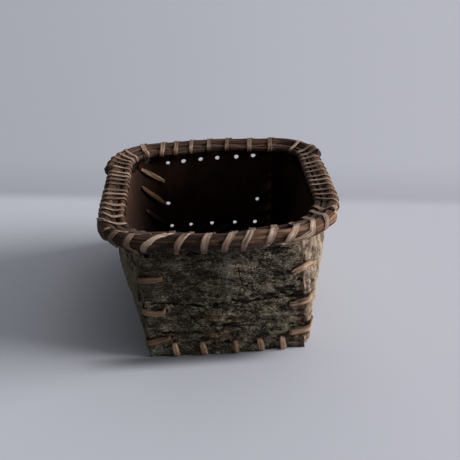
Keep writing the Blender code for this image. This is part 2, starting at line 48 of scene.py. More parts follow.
def paint(red, green, blue):  # a colour as read on a screen, 0 to 255
    steps = [value / 255 for value in (red, green, blue)]
    return tuple(s / 12.92 if s <= 0.04045 else ((s + 0.055) / 1.055) ** 2.4 for s in steps) + (1,)


def put(tree, kind, inputs=None, **settings):  # a shader node with its settings, values and links
    node = tree.nodes.new("ShaderNode" + kind)
    for name, value in settings.items():
        setattr(node, name, value)
    for name, value in (inputs or {}).items():
        if isinstance(value, bpy.types.NodeSocket):
            tree.links.new(value, node.inputs[name])
        else:
            node.inputs[name].default_value = value
    return node


def treeOf(values):  # the node tree in which the sockets among the values lie
    return next(value.id_data for value in values if isinstance(value, bpy.types.NodeSocket))


def reckon(kind, first, second=0.0, clamp=False):
    inputs = {0: first, 1: second}
    return put(treeOf((first, second)), "Math", inputs, operation=kind, use_clamp=clamp).outputs[0]


def times(first, *others):
    for other in others:
        first = reckon("MULTIPLY", first, other)
    return first


def plus(first, second):
    return reckon("ADD", first, second)


def minus(first, second):
    return reckon("SUBTRACT", first, second)


def vectors(kind, first, second):
    return put(treeOf((first,)), "VectorMath", {0: first, 1: second}, operation=kind).outputs[0]


def scaled(vector, factor):
    return put(treeOf((vector,)), "VectorMath", {0: vector, 3: factor}, operation="SCALE").outputs[0]


def split(vector):
    return put(treeOf((vector,)), "SeparateXYZ", {0: vector}).outputs


def joined(x, y, z=0.0):
    return put(treeOf((x, y)), "CombineXYZ", {0: x, 1: y, 2: z}).outputs[0]


def blend(share, low, high):
    return put(treeOf((share,)), "Mix", {0: share, 6: low, 7: high}, data_type="RGBA").outputs[2]


def stretch(value, low, high, newLow=0.0, newHigh=1.0):  # one span softly onto another
    spans = {"Value": value, "From Min": low, "From Max": high, "To Min": newLow, "To Max": newHigh}
    return put(treeOf((value,)), "MapRange", spans, interpolation_type="SMOOTHSTEP").outputs[0]


def noise(place, scale, detail=2.0, rough=0.5):
    inputs = {"Vector": place, "Scale": scale, "Detail": detail, "Roughness": rough}
    return put(treeOf((place,)), "TexNoise", inputs).outputs[0]


def newFinish(name):
    made = bpy.data.materials.new(name)
    made.use_nodes = True
    return made, made.node_tree, made.node_tree.nodes["Principled BSDF"]


viewLook = {
    "place": (-0.0299, -0.4667, 0.3293),
    "pitch": 0.53,
    "yaw": -0.0833,
    "roll": -0.01,
    "focalPixels": 640,
    "imagePixels": 460,
    "sensor": 36,
}


def makeCamera(look):
    data = bpy.data.cameras.new("camera")
    data.sensor_width = look["sensor"]
    data.lens = look["focalPixels"] / look["imagePixels"] * look["sensor"]
    camera = bpy.data.objects.new("camera", data)
    scene.collection.objects.link(camera)
    pitch, yaw, roll = look["pitch"], look["yaw"], look["roll"]
    ahead = Vector((-math.sin(yaw) * math.cos(pitch), math.cos(yaw) * math.cos(pitch), -math.sin(pitch)))
    level = Vector((math.cos(yaw), math.sin(yaw), 0))
    upright = level.cross(ahead)
    across = level * math.cos(roll) + upright * math.sin(roll)
    raised = upright * math.cos(roll) - level * math.sin(roll)
    turned = Matrix((across, raised, -ahead)).transposed().to_4x4()
    camera.matrix_world = Matrix.Translation(look["place"]) @ turned
    scene.camera = camera


floorLook = {
    # painted light: the floor and the backdrop grow paler towards the right, where the light comes from
    "nearLeft": paint(179, 182, 192),
    "nearRight": paint(184, 186, 196),
    "farLeft": paint(163, 166, 176),
    "farRight": paint(179, 181, 192),
    "sky": paint(174, 177, 187),
    "line": 0.1625,  # where the paler floor ends behind the box
    "slope": 0.14,
    "softness": 0.013,
    "shade": 0.87,
    "shadeDepth": 0.12,
    "size": 8,
    "turn": (-0.4, 0.5),
    "turnFrom": (0.03, 0.47),
    "across": (-0.2, 0.22),
    "shades": (  # each soft shade: how much darker, and where over x and y it comes in and goes out
        (0.74, ((-0.125, -0.060), (0.050, -0.004)), ((-0.108, -0.094), (-0.087, -0.093))),
        (0.20, ((-0.16, -0.09), (-0.04, -0.07)), ((-0.11, -0.07), (0.09, 0.02))),
    ),
    "roughness": 0.9,
    "specular": 0.1,
}


def makeFloor(look):
    mesh = bpy.data.meshes.new("floor")
    half = look["size"] / 2
    spots = [(x * half, y * half, 0) for x, y in ((-1, -1), (1, -1), (1, 1), (-1, 1))]
    mesh.from_pydata(spots, [], [(0, 1, 2, 3)])
    floor = bpy.data.objects.new("floor", mesh)
    scene.collection.objects.link(floor)
    made, tree, shader = newFinish("paleFloor")
    x, y, _ = split(put(tree, "TexCoord").outputs["Object"])
    depth = plus(y, times(x, look["slope"]))
    turn = reckon("DIVIDE", plus(x, look["turnFrom"][0]), plus(reckon("ABSOLUTE", y), look["turnFrom"][1]))
    line, soft = look["line"], look["softness"]
    # painted light: paler towards the right, where the light comes from
    far = blend(stretch(turn, *look["turn"]), look["farLeft"], look["farRight"])
    far = scaled(far, stretch(depth, line, line + look["shadeDepth"], look["shade"], 1.0))
    near = blend(stretch(x, *look["across"]), look["nearLeft"], look["nearRight"])
    whole = blend(stretch(depth, line - soft, line + soft), near, far)
    for darker, across, along in look["shades"]:
        spans = [stretch(x, *span) for span in across] + [stretch(y, *span) for span in along]
        whole = scaled(whole, minus(1.0, times(*spans, darker)))
    tree.links.new(whole, shader.inputs["Base Color"])
    shader.inputs["Roughness"].default_value = look["roughness"]
    shader.inputs["Specular IOR Level"].default_value = look["specular"]
    mesh.materials.append(made)


lightLook = {  # each sun: its share of the floor's light, direction, angle and tint
    "window": (0.60, (0.70, -0.03, 0.27), 30, (1.0, 0.985, 0.96)),
    "room": (0.28, (0.75, 0.85, 0.80), 120, (1.0, 1.0, 1.0)),
    "floorLight": 1.0,
    "fill": (0.12, 0.121, 0.126, 1),
}


def makeLight(look):
    for name in ("window", "room"):
        share, direction, angle, tint = look[name]
        data = bpy.data.lights.new(name, "SUN")
        data.energy = share * look["floorLight"] * math.pi / Vector(direction).normalized().z
        data.angle = math.radians(angle)
        data.color = tint
        sun = bpy.data.objects.new(name, data)
        scene.collection.objects.link(sun)
        sun.rotation_euler = Vector(direction).to_track_quat("Z", "Y").to_euler()
    world = bpy.data.worlds.new("room")
    scene.world = world
    world.use_nodes = True
    tree = world.node_tree
    tree.nodes.clear()
    rays = put(tree, "LightPath")
    seen = reckon("MAXIMUM", rays.outputs["Is Camera Ray"], rays.outputs["Is Transmission Ray"])
    room = put(tree, "Background", {"Color": look["fill"], "Strength": 1.0})
    sky = put(tree, "Background", {"Color": floorLook["sky"], "Strength": 1.0})
    both = put(tree, "MixShader", {0: seen, 1: room.outputs[0], 2: sky.outputs[0]})
    put(tree, "OutputWorld", {"Surface": both.outputs[0]})


makeCamera(viewLook)
makeFloor(floorLook)
makeLight(lightLook)
scene.view_settings.view_transform = "Standard"
print("camera, light and floor are set")

# The box's shape, in the same sizes as the solids.
box = {
    "bark": 0.003,
    "baseWidth": 0.120,
    "baseDepth": 0.182,
    "mouthWidth": 0.167,
    "mouthSkew": 0.0025,
    "frontPinch": 0.003,
    "endTopWidth": 0.120,
    "endShift": -0.0028,
    "lean": {front: 0.008, back: 0.010},
    "floorBow": 0.0015,
    "mouthBow": 0.004,
    "corner": 0.030,
    "wideCorner": 0.044,
    "rim": {front: 0.100, back: 0.096},
    "flarePower": 0.95,
    "leftBow": 0.0022,
    "gap": 0.0003,
    "seam": 0.0006,
    "outerRod": 0.0105,
    "innerRod": 0.0060,
}
bark = box["bark"]


def mix(low, high, share):
    return low + (high - low) * share


def rimHeight(y):
    return mix(box["rim"][front], box["rim"][back], y / box["baseDepth"] + 0.5)


def outOfSquare(x, y, t):  # a point of a square box as it lies in the real, skewed one
    frontShare = 0.5 - y / box["baseDepth"]
    pinch = 1 - 2 * box["frontPinch"] / box["mouthWidth"] * frontShare * t
    return np.stack([x * pinch + box["mouthSkew"] * (1 - 2 * frontShare) * t, y, t * rimHeight(y)], -1)


def cornerRadius(side, end):
    return box["wideCorner"] if (side, end) == (right, front) else box["corner"]


def bendStart(radius, t):
    return mix(box["baseWidth"] - bark, box["mouthWidth"] - bark - 2 * radius, t) / 2


def endDepth(end, x, t):  # distance of an end sheet's middle surface from the middle of the box
    radius = np.where(x < 0, cornerRadius(left, end), cornerRadius(right, end))
    straight = bendStart(radius, t)
    bow = mix(box["floorBow"], box["mouthBow"], t)
    bow = bow * (1 + np.cos(np.pi * np.minimum(1, np.abs(x) / straight))) / 2
    radius = radius + bark + box["seam"]
    past = np.maximum(0, np.abs(x) - straight)
    turnedIn = t * (radius - np.sqrt(radius**2 - past**2))
    return (box["baseDepth"] - bark) / 2 - box["lean"][end] * t + bow - turnedIn


def endEdge(side, t):
    return side * mix(box["baseWidth"], box["endTopWidth"], t) / 2 + box["endShift"] * t


def endSheet(end, x, t):
    return outOfSquare(x, end * endDepth(end, x, t), t)


def sideHalf(side, t):
    bow = box["leftBow"] * np.sin(np.pi * t) ** 2 if side == left else 0
    share = np.maximum(t, 0) ** box["flarePower"]
    return mix(box["baseWidth"] - bark, box["mouthWidth"] - bark, share) / 2 + bow


def bend(side, end, t):  # a side sheet's bend: its radius, first x and y, and first heading
    radius = cornerRadius(side, end)
    half = sideHalf(side, t)
    sine = np.clip(1 - (half - bendStart(box["corner"], t)) / radius, 0, 1)
    heading = np.arcsin(sine)
    x = half - radius * (1 - sine)
    face = endDepth(end, side * x, t) - bark / 2
    return radius, x, face - box["seam"] - bark / 2 * np.cos(heading), heading


def sideSpans(side, t):
    bends, ends = [], []
    for end in (front, back):
        radius, _, y, heading = bend(side, end, t)
        bends.append(radius * (np.pi / 2 - heading))
        ends.append(y - radius * np.cos(heading))
    return bends[0], ends[0] + ends[1], bends[1], -ends[0]


def sideSheet(side, along, t):
    first, run, last, start = sideSpans(side, t)
    gone = along * (first + run + last)
    x, y = sideHalf(side, t) + 0 * gone, start + gone - first
    bends = ((front, gone < first, gone), (back, gone > first + run, first + run + last - gone))
    for end, turning, way in bends:
        radius, bendX, bendY, heading = bend(side, end, t)
        turned = heading + way / radius
        x = np.where(turning, bendX + radius * (np.sin(turned) - np.sin(heading)), x)
        y = np.where(turning, end * (bendY - radius * (np.cos(heading) - np.cos(turned))), y)
    return outOfSquare(side * x, y, t)


def wallPoint(kind, where, place, height):  # on a wall's middle surface: the point, the ways out and up
    if kind == "end":
        t = height / rimHeight(where * box["baseDepth"] / 2)
        sheet = lambda a, b: Vector(endSheet(where, np.float64(a), np.float64(b)))
    else:
        t = height / rimHeight(0)
        sheet = lambda a, b: Vector(sideSheet(where, np.float64(a), np.float64(b)))
    beside = 0.001 if kind == "end" else 0.006
    along = sheet(place + beside, t) - sheet(place - beside, t)
    upright = (sheet(place, t + 0.01) - sheet(place, t - 0.01)).normalized()
    out = along.cross(upright).normalized()
    point = sheet(place, t)
    if out.x * point.x + out.y * point.y < 0:
        out.negate()
    return point, out, upright


def endRun(side, end):
    return box["mouthWidth"] / 2 - bark / 2 - cornerRadius(side, end)


def sheetRun(side, end):
    return endRun(side, end) + cornerRadius(side, end) * float(bend(side, end, 1.0)[3])


corners = ((right, front), (right, back), (left, back), (left, front))
laps = [endRun(right, front)]
for number, (cornerSide, cornerEnd) in enumerate(corners):
    laps.append(cornerRadius(cornerSide, cornerEnd) * math.pi / 2)
    if number % 2 == 0:
        laps.append(float(sideSpans(cornerSide, 1.0)[1]))
    else:
        laps.append(endRun(cornerSide, cornerEnd) + (endRun(left, back) if number == 1 else 0))
borders = list(np.cumsum(laps))
ring = borders[-1]
halfTurn = borders[3] + endRun(right, back)
sideLaps = {2: right, 6: left}


def ringPlace(s):  # the kind of sheet under a distance round the mouth, which one, and the place on it
    s = s % ring
    side, first, last = (right, 0, halfTurn) if s < halfTurn else (left, halfTurn, ring)
    ends = (front, back) if side == right else (back, front)
    start, finish = first + sheetRun(side, ends[0]), last - sheetRun(side, ends[1])
    if start <= s < finish:
        along = (s - start) / (finish - start)
        return "side", side, along if side == right else 1 - along
    end = ends[0] if s < start else ends[1]
    x = s - first if s < start else last - s
    past = max(0, x - endRun(side, end)) / cornerRadius(side, end)
    return "end", end, side * (min(x, endRun(side, end)) + cornerRadius(side, end) * math.sin(past))


def rodCentre(s, outer):  # middle of the outer rods or of the hoop, at a distance round the mouth
    s = s % ring
    lap = next(i for i, border in enumerate(borders) if s < border)
    gone = s - borders[lap] + laps[lap]
    radius = (box["outerRod"] if outer else box["innerRod"]) / 2
    wide = box["mouthWidth"] / 2
    wide += box["gap"] + radius if outer else -bark - box["seam"] - radius

    def deep(side, end, x):
        depth = float(endDepth(end, x, 1.0))
        if outer:
            return depth + bark / 2 + box["gap"] + radius
        hollow = bark * (1 + math.cos(math.pi * x / endRun(side, end))) / 2
        return depth - 1.5 * bark - 2 * box["seam"] - radius + hollow

    def cornerMiddle(side, end):
        return deep(side, end, side * endRun(side, end)) - wide + endRun(side, end)

    side, end = corners[lap // 2 % len(corners)]
    if lap % 2:
        turned = gone / cornerRadius(side, end)
        if side * end == 1:
            turned = math.pi / 2 - turned
        x = side * (endRun(side, end) + (wide - endRun(side, end)) * math.sin(turned))
        y = end * (cornerMiddle(side, end) + (wide - endRun(side, end)) * math.cos(turned))
    elif lap in sideLaps:
        x = sideLaps[lap] * wide
        ends = [end * cornerMiddle(sideLaps[lap], end) for end in (front, back)]
        y = mix(*(ends if sideLaps[lap] == right else ends[::-1]), gone / laps[lap])
    else:
        end = back if lap == 4 else front
        x = halfTurn - s if lap == 4 else s if lap == 0 else s - ring
        y = end * deep(left if x < 0 else right, end, x)
    return Vector(outOfSquare(np.float64(x), np.float64(y), 1.0))


def ringAt(side, y):  # distance round the mouth of a place on a side's rim
    spots = [s for s in np.arange(0, ring, 0.0005) if rodCentre(s, True).x * side > 0.05]
    return min(spots, key=lambda s: abs(rodCentre(s, True).y - y))


def smoothNoise(x, y, seed):  # 0 to 1, one cell to a unit
    cells = 64
    lattice = np.random.default_rng(seed).random((cells, cells))
    column, row = np.floor(x).astype(int), np.floor(y).astype(int)
    shareX, shareY = x - column, y - row
    shareX, shareY = shareX**2 * (3 - 2 * shareX), shareY**2 * (3 - 2 * shareY)
    near = mix(lattice[row % cells, column % cells], lattice[row % cells, (column + 1) % cells], shareX)
    row = row + 1
    far = mix(lattice[row % cells, column % cells], lattice[row % cells, (column + 1) % cells], shareX)
    return mix(near, far, shareY)


def noiseAt(x, y, seed):  # at one place
    return float(smoothNoise(np.float64(x), np.float64(y), seed))


def layeredNoise(x, y, seed, layers=3, fade=0.5):
    total, weight, whole = 0, 1, 0
    for layer in range(layers):
        across, along = x * 2**layer + 17.3 * layer, y * 2**layer + 5.1 * layer
        total = total + weight * smoothNoise(across, along, seed + layer)
        whole += weight
        weight *= fade
    return total / whole


def step(low, high, value):
    share = np.clip((value - low) / (high - low), 0, 1)
    return share * share * (3 - 2 * share)


# Bark sheets. Cracks of the front: x, height, width and depth along each, in millimetres.
frontCracks = (
    (
        (-56, 46.6, 0.7, 0.8),
        (-34, 45.0, 1.0, 1.1),
        (-11, 43.6, 1.2, 1.3),
        (2, 46.6, 1.1, 1.3),
        (27, 45.2, 0.9, 1.1),
        (56, 46.0, 0.5, 0.7),
    ),
    (
        (-34, 44.5, 0.5, 0.4),
        (-27, 34, 0.8, 0.9),
        (-20, 26, 0.9, 1.0),
        (-5, 25.7, 0.8, 0.9),
        (16, 27.8, 0.5, 0.4),
    ),
    ((8.6, 80, 0.4, 0.3), (10, 68, 0.9, 1.0), (13, 57, 0.4, 0.3)),
    ((-62, 24, 0.5, 0.5), (-44, 21, 0.8, 0.9), (-30, 19.5, 0.6, 0.5)),
    ((18, 18, 0.4, 0.4), (34, 19.5, 0.8, 0.9), (56, 22, 0.6, 0.6)),
)
sheetLook = {
    "front": {
        "seed": 11,
        "cell": 0.0007,
        "rough": (0.35, 0.75),  # to the left and to the right
        "plate": (0.0080, 0.0026),
        "ridge": 0.0014,
        "trim": 0.0011,
        "cracks": frontCracks,
    },
    "back": {
        "seed": 41,
        "cell": 0.0010,
        "rough": (0.9, 0.8),
        "plate": (0.009, 0.0030),
        "ridge": 0.0014,
        "tilt": 0.0017,
    },
    "left": {
        "grainUp": True,
        "seed": 71,
        "cell": 0.0010,
        "rough": (0.8, 0.9),
        "plate": (0.016, 0.0026),
        "ridge": 0.0024,
        "bulge": 0.0010,
    },
    "right": {
        "grainUp": True,
        "seed": 101,
        "cell": 0.0009,
        "rough": (1.0, 1.0),
        "plate": (0.014, 0.0024),
        "ridge": 0.0024,
        "bulge": 0.0038,
        "lumps": 0.0009,
        # darker flat part of this side: partly the bark's own colour, partly painted light, as the front bend
        # stays paler where it catches the light
        "flatSideDarker": 0.0003,
        "barkEnd": True,
    },
}
relief = {
    "swell": 0.0010,
    "plates": 0.0012,
    "knobs": 0.0006,
    "fine": 0.0005,
    "warp": 0.003,
    "cells": {  # how long and how wide each kind of unevenness is
        "warp": (0.014, 0.008),
        "swell": (0.034, 0.016),
        "knobs": (0.0042, 0.0022),
        "fine": (0.0021, 0.0011),
        "lumps": (0.007, 0.0045),
    },
    "border": (-0.030, -0.018),  # where the front's smoother bark turns rough
    "lowest": -0.0021,
    "highest": 0.0009,
    "crackFade": 0.004,
}


def crackDepth(u, v, cracks):
    depth, fade = np.zeros_like(u), relief["crackFade"]
    for crack in cracks:
        points = np.array(crack) / 1000
        wander = 0.0022 * (layeredNoise(u / 0.006, v / 0.02, 5) - 0.5)
        wander = wander + 0.0014 * (smoothNoise(u / 0.0022, v / 0.01, 6) - 0.5)
        run, other = (u, v) if np.ptp(points[:, 0]) > 0.01 else (v, u)
        if run is v:  # up the sheet, and not across it
            points = points[::-1, [1, 0, 2, 3]]
        middle, width, deep = (np.interp(run, points[:, 0], points[:, i]) for i in (1, 2, 3))
        on = step(0, fade, run - points[0, 0] + fade) * step(0, fade, points[-1, 0] + fade - run)
        depth = np.maximum(depth, on * deep * np.exp(-(((other + wander - middle) / width) ** 2)))
    return depth


def barkRelief(u, v, look):  # how far the rough outer side stands out from an even sheet
    seed = look["seed"]
    a, b = (v, u) if look.get("grainUp") else (u, v)

    def uneven(name, a, b, offset, *layers):
        length, width = relief["cells"].get(name) or look[name]
        return layeredNoise(a / length, b / width, seed + offset, *layers)

    border = u + 0.006 * (layeredNoise(v / 0.011, 0 * u, seed + 1) - 0.5)
    rough = mix(*look["rough"], step(*relief["border"], border))
    warp = relief["warp"] * (uneven("warp", a, b, 2) - 0.5)
    swell = uneven("swell", a, b, 3, 2) - 0.5
    plates = step(0.36, 0.60, uneven("plate", a, b + warp, 6, 3, 0.6)) - 0.75
    knobs = uneven("knobs", a, b + warp, 9, 2) - 0.5
    fine = uneven("fine", a, b, 12, 2, 0.7) - 0.5
    height = relief["swell"] * swell + rough * relief["plates"] * plates
    height = height + (0.35 + 0.65 * rough) * (relief["knobs"] * knobs * 2 + relief["fine"] * fine * 2)
    height = height - crackDepth(u, v, look.get("cracks", ()))
    height = height + look.get("lumps", 0) * (uneven("lumps", u, v, 15, 3, 0.6) * 2 - 1)
    return np.clip(height, relief["lowest"], relief["highest"])


def floatLayer(mesh, name, values):
    layer = mesh.attributes.new(name, "FLOAT", "POINT")
    layer.data.foreach_set("value", np.asarray(values, np.float32).ravel())


def vectorLayer(mesh, name, values):
    layer = mesh.attributes.new(name, "FLOAT_VECTOR", "POINT")
    layer.data.foreach_set("vector", np.asarray(values, np.float32).ravel())


def newMesh(name, spots, faces, materials):
    mesh = bpy.data.meshes.new(name)
    mesh.from_pydata(spots, [], faces)
    for made in materials:
        mesh.materials.append(made)
    return mesh


def finishPiece(name, mesh, nodes, sharp=50):
    mesh.shade_smooth()
    mesh.set_sharp_from_angle(angle=math.radians(sharp))
    made = bpy.data.objects.new(name, mesh)
    scene.collection.objects.link(made)
    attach(made, body)
    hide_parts(*nodes)
    return made


sheetShape = {
    "ragged": 0.0022,  # the broken upper edge
    "raggedTooth": 0.009,
    "raggedDrop": 0.0004,
    "raggedPower": 14,
    "fringe": 0.0014,  # the torn edges at both ends
    "fringeTooth": 0.007,
    "fringeFrom": (0.93, 1),
    "trimFrom": (0.96, 1),
    "trimHeight": (0.3, 0.1),
    "underRods": (0.84, 0.91),  # from here up the sheet is whole
    "wholeRise": -0.0001,
    "bulgeAlong": (0.35, 0.15),
    "bulgeHeight": (0.92, 0.7),
    "bulgeEnd": (-0.01, 0.045),
    "bevel": 0.0014,
    "bevelAlong": (0.014, 0),
    # where the darker flat part begins past the front bend, partly painted light
    "flatSideDarkerFrom": (0.17, 0.24),
    "innerRise": 0.0003,
    "innerCell": (0.02, 0.03),
    "holeSlope": (2.8, 1.3),  # how far round an awl hole the bark slopes with it, in radii
    "lip": 0.30,
    "foot": 0.00005,
}


def sheetSurface(kind, where):  # its height, its ends at a share of that height, and its middle surface
    if kind == "end":
        height = float(rimHeight(where * box["baseDepth"] / 2))
        return height, lambda t: (endEdge(left, t), endEdge(right, t)), lambda u, t: endSheet(where, u, t)

    def whole(t):
        return sum(sideSpans(where, t)[:3])

    def surface(u, t):
        return sideSheet(where, u / whole(t) + 0.5, t)

    return float(rimHeight(0)), lambda t: (-whole(t) / 2, whole(t) / 2), surface


def sheetGrid(look, height, ends):  # shares of the way along and up, and metres with the torn edges
    shape, seed = sheetShape, look["seed"]
    low, high = ends(np.float64(1))
    columns = int((high - low) / look["cell"])
    rows = int((height + look["ridge"]) / look["cell"])
    share, level = np.meshgrid(np.linspace(0, 1, columns + 1), np.linspace(0, 1, rows + 1))
    t = level * (1 + look["ridge"] / height)
    u, v = mix(*ends(t), share), t * height
    ragged = shape["ragged"] * (layeredNoise(u / shape["raggedTooth"], 0 * u + 3.3, seed + 30) - 0.5)
    v = v + (ragged - shape["raggedDrop"]) * level ** shape["raggedPower"]
    way = np.sign(share - 0.5)
    fringe = shape["fringe"] * (layeredNoise(v / shape["fringeTooth"], way * 7.7, seed + 33) - 0.62)
    u = u + way * fringe * step(*shape["fringeFrom"], np.abs(2 * share - 1))
    u = u - look.get("trim", 0) * step(*shape["trimFrom"], share) * step(*shape["trimHeight"], level)
    return share, level, u, v


def cutHoles(u, v, holes):  # the grid drawn onto the holes' rims, and which of its cells are kept
    rows, columns = u.shape[0] - 1, u.shape[1] - 1
    kept = np.ones((rows, columns), bool)
    for holeU, holeV, radius in holes:
        away = np.hypot(u - holeU, v - holeV)
        inside = away < radius
        gone = inside[:-1, :-1] & inside[1:, :-1] & inside[:-1, 1:] & inside[1:, 1:]
        kept &= ~gone
        rim = np.zeros_like(inside)
        for rowShift in (0, 1):
            for columnShift in (0, 1):
                rim[rowShift : rows + rowShift, columnShift : columns + columnShift] |= gone
        scale = np.where(rim, radius / np.maximum(away, 1e-6), 1)
        u, v = holeU + (u - holeU) * scale, holeV + (v - holeV) * scale
    return u, v, kept


def sheetSides(look, middle, holes, share, level, u, v):  # both sides, the outer one's rise and its facing
    shape = sheetShape
    along, upright = np.gradient(middle, axis=1), np.gradient(middle, axis=0)
    out = np.cross(along, upright)
    out /= np.linalg.norm(out, axis=-1, keepdims=True)
    facing = np.sign((out[..., :2] * middle[..., :2]).sum())
    out *= facing
    rise = barkRelief(u, v, look)
    rise = np.maximum(rise, mix(relief["lowest"], shape["wholeRise"], step(*shape["underRods"], level)))
    thicker = look.get("bulge", 0) * step(*shape["bulgeAlong"], share) * step(*shape["bulgeHeight"], level)
    if look.get("barkEnd"):  # bevelled at its front end
        thicker = thicker * step(*shape["bulgeEnd"], share)
        thicker = thicker - shape["bevel"] * step(*shape["bevelAlong"], share)
    outer = middle + out * (bark / 2 + rise + thicker)[..., None]
    if look.get("tilt"):  # the awl holes slope down and out
        near = np.zeros_like(u)
        for holeU, holeV, radius in holes:
            near = np.maximum(near, step(*shape["holeSlope"], np.hypot(u - holeU, v - holeV) / radius))
        outer -= (upright / np.linalg.norm(upright, axis=-1, keepdims=True)) * (look["tilt"] * near)[..., None]
    length, width = shape["innerCell"]
    innerRise = shape["innerRise"] * (layeredNoise(u / length, v / width, look["seed"] + 50, 2) - 0.5)
    inner = middle - out * (bark / 2 + innerRise)[..., None]
    for side in (outer, inner):
        side[..., 2] = np.maximum(side[..., 2], shape["foot"])
    return outer.reshape(-1, 3), inner.reshape(-1, 3), rise, facing > 0


def barkSheet(name, kind, where, holes, materials):
    look, shape = sheetLook[name], sheetShape
    height, ends, surface = sheetSurface(kind, where)
    share, level, u, v = sheetGrid(look, height, ends)
    u, v, kept = cutHoles(u, v, holes)
    outer, inner, rise, outward = sheetSides(look, surface(u, v / height), holes, share, level, u, v)
    count, across, seed = u.size, u.shape[1], look["seed"]
    index = np.arange(count).reshape(u.shape)
    a, b, c, d = index[:-1, :-1][kept], index[:-1, 1:][kept], index[1:, 1:][kept], index[1:, :-1][kept]
    quads = np.stack([a, b, c, d] if outward else [a, d, c, b], 1)
    starts, ends = quads.ravel(), np.roll(quads, -1, 1).ravel()
    edges = {(s, e) for s, e in zip(starts.tolist(), ends.tolist())}
    openEdges = sorted((s, e) for s, e in edges if (e, s) not in edges)
    lips = sorted({s for s, _ in openEdges} | {e for _, e in openEdges})
    lipIndex = {spot: 2 * count + i for i, spot in enumerate(lips)}
    lipShare = 0.5 + shape["lip"] * (np.random.default_rng(seed + 60).random(len(lips)) - 0.3)
    spots = np.concatenate([outer, inner, mix(outer[lips], inner[lips], lipShare[:, None])])
    faces = [tuple(q) for q in quads.tolist()] + [tuple(i + count for i in reversed(q)) for q in quads.tolist()]
    slots = [0] * len(quads) + [2] * len(quads)
    for s, e in openEdges:
        faces += [(e, s, lipIndex[s], lipIndex[e]), (lipIndex[e], lipIndex[s], s + count, e + count)]
        slots += [0 if look.get("barkEnd") and s % across == e % across == 0 else 1] * 2
    used = np.unique(np.concatenate([quads.ravel(), quads.ravel() + count, list(lipIndex.values())]))
    remap = np.full(len(spots), -1)
    remap[used] = np.arange(len(used))
    faces = [tuple(int(remap[i]) for i in f) for f in faces]
    mesh = newMesh(name + "Panel", spots[used].tolist(), faces, materials)
    mesh.polygons.foreach_set("material_index", slots)
    place = np.stack([u.ravel(), v.ravel(), np.full(count, seed / 100)], 1)
    place = np.concatenate([place, place + (0, 0, 0.3), place[lips] + (0, 0, 0.15)])
    # the flat part of the sheet is darker than its front bend: partly the bark's own colour, partly painted
    # light on the bend
    rise = (rise - look.get("flatSideDarker", 0) * step(*shape["flatSideDarkerFrom"], share)).ravel()
    depth = (rise - relief["lowest"]) / (relief["highest"] - relief["lowest"])
    lipDepth = 0.8 if look.get("barkEnd") else 0.4
    depth = np.concatenate([depth, np.full(count, 0.6), np.full(len(lips), lipDepth)])
    vectorLayer(mesh, "place", place[used])
    floatLayer(mesh, "relief", depth[used])
    return finishPiece(name + "Panel", mesh, [name + "_panel"])


def headingAt(points, i):
    return (points[min(i + 1, len(points) - 1)] - points[max(i - 1, 0)]).normalized()


capShares = (0.35, 0.75, 0.94)


def tube(name, stops, sides, look, nodes, materials, caps):
    # stops: middle, way out, radius, distance along and stretch outward; bumps, fibres and rounded ends
    seed = look["seed"]
    angles = np.arange(sides) / sides * 2 * np.pi
    points = [Vector(stop[0]) for stop in stops]
    rings, places, depths, tones = [], [], [], []
    whole = stops[-1][3]

    def addRing(point, out, rise, radius, run, flat, seen=1.0):
        turn = angles / (2 * np.pi) * 16
        fibre = smoothNoise(turn * look["fibres"], np.full(sides, run / 0.022), seed) - 0.5
        bump = layeredNoise(np.cos(angles) * 0.9 + 5, np.sin(angles) * 0.9 + run / 0.013, seed + 4) - 0.5
        wide = radius * (1 + look["fibre"] * fibre * seen + look["bump"] * bump)
        turned = zip(wide, angles)
        rings.append([point + out * (flat * w * math.cos(g)) + rise * (w * math.sin(g)) for w, g in turned])
        places.append([(run, g * radius, seed / 100) for g in angles])
        depths.append(0.5 + fibre + 0.3 * bump)
        tones.extend([float(np.interp(run / whole, *zip(*look["tones"])))] * sides)

    for i, (point, out, radius, run, flat) in enumerate(stops):
        ahead = headingAt(points, i)
        out = (out - ahead * out.dot(ahead)).normalized()
        rise = ahead.cross(out).normalized()
        if rise.z < 0:
            rise.negate()
        if i == 0:
            for share in capShares:
                drop = caps[0] * radius * (1 - share)
                addRing(point - ahead * drop, out, rise, radius * share, run - drop, flat, share)
        addRing(point, out, rise, radius, run, flat)
        if i == len(stops) - 1:
            for share in capShares[::-1]:
                drop = caps[1] * radius * (1 - share)
                addRing(point + ahead * drop, out, rise, radius * share, run + drop, flat, share)
    flip = (points[1] - points[0]).cross(stops[0][1]).z > 0
    spots = [tuple(p) for r in rings for p in r]
    faces, slots = [], []
    for r in range(len(rings) - 1):
        for i in range(sides):
            a, b = r * sides + i, r * sides + (i + 1) % sides
            quad = (a, b, b + sides, a + sides)
            faces.append(quad[::-1] if flip else quad)
            slots.append(1 if r < len(capShares) or r >= len(rings) - 1 - len(capShares) else 0)
    for start in (0, (len(rings) - 1) * sides):
        centre = len(spots)
        spots.append(tuple(sum((Vector(p) for p in spots[start : start + sides]), Vector()) / sides))
        for i in range(sides):
            tri = (start + (i + 1) % sides, start + i, centre)
            faces.append(tri[::-1] if (start > 0) != flip else tri)
            slots.append(1)
    mesh = newMesh(name, spots, faces, materials)
    mesh.polygons.foreach_set("material_index", slots)
    ends = [(stops[0][3], 0, seed / 100), (stops[-1][3], 0, seed / 100)]
    vectorLayer(mesh, "place", [p for r in places for p in r] + ends)
    floatLayer(mesh, "relief", [d for r in depths for d in r] + [0.5, 0.5])
    floatLayer(mesh, "tone", tones + [tones[0], tones[-1]])
    return finishPiece(name, mesh, nodes, 60)
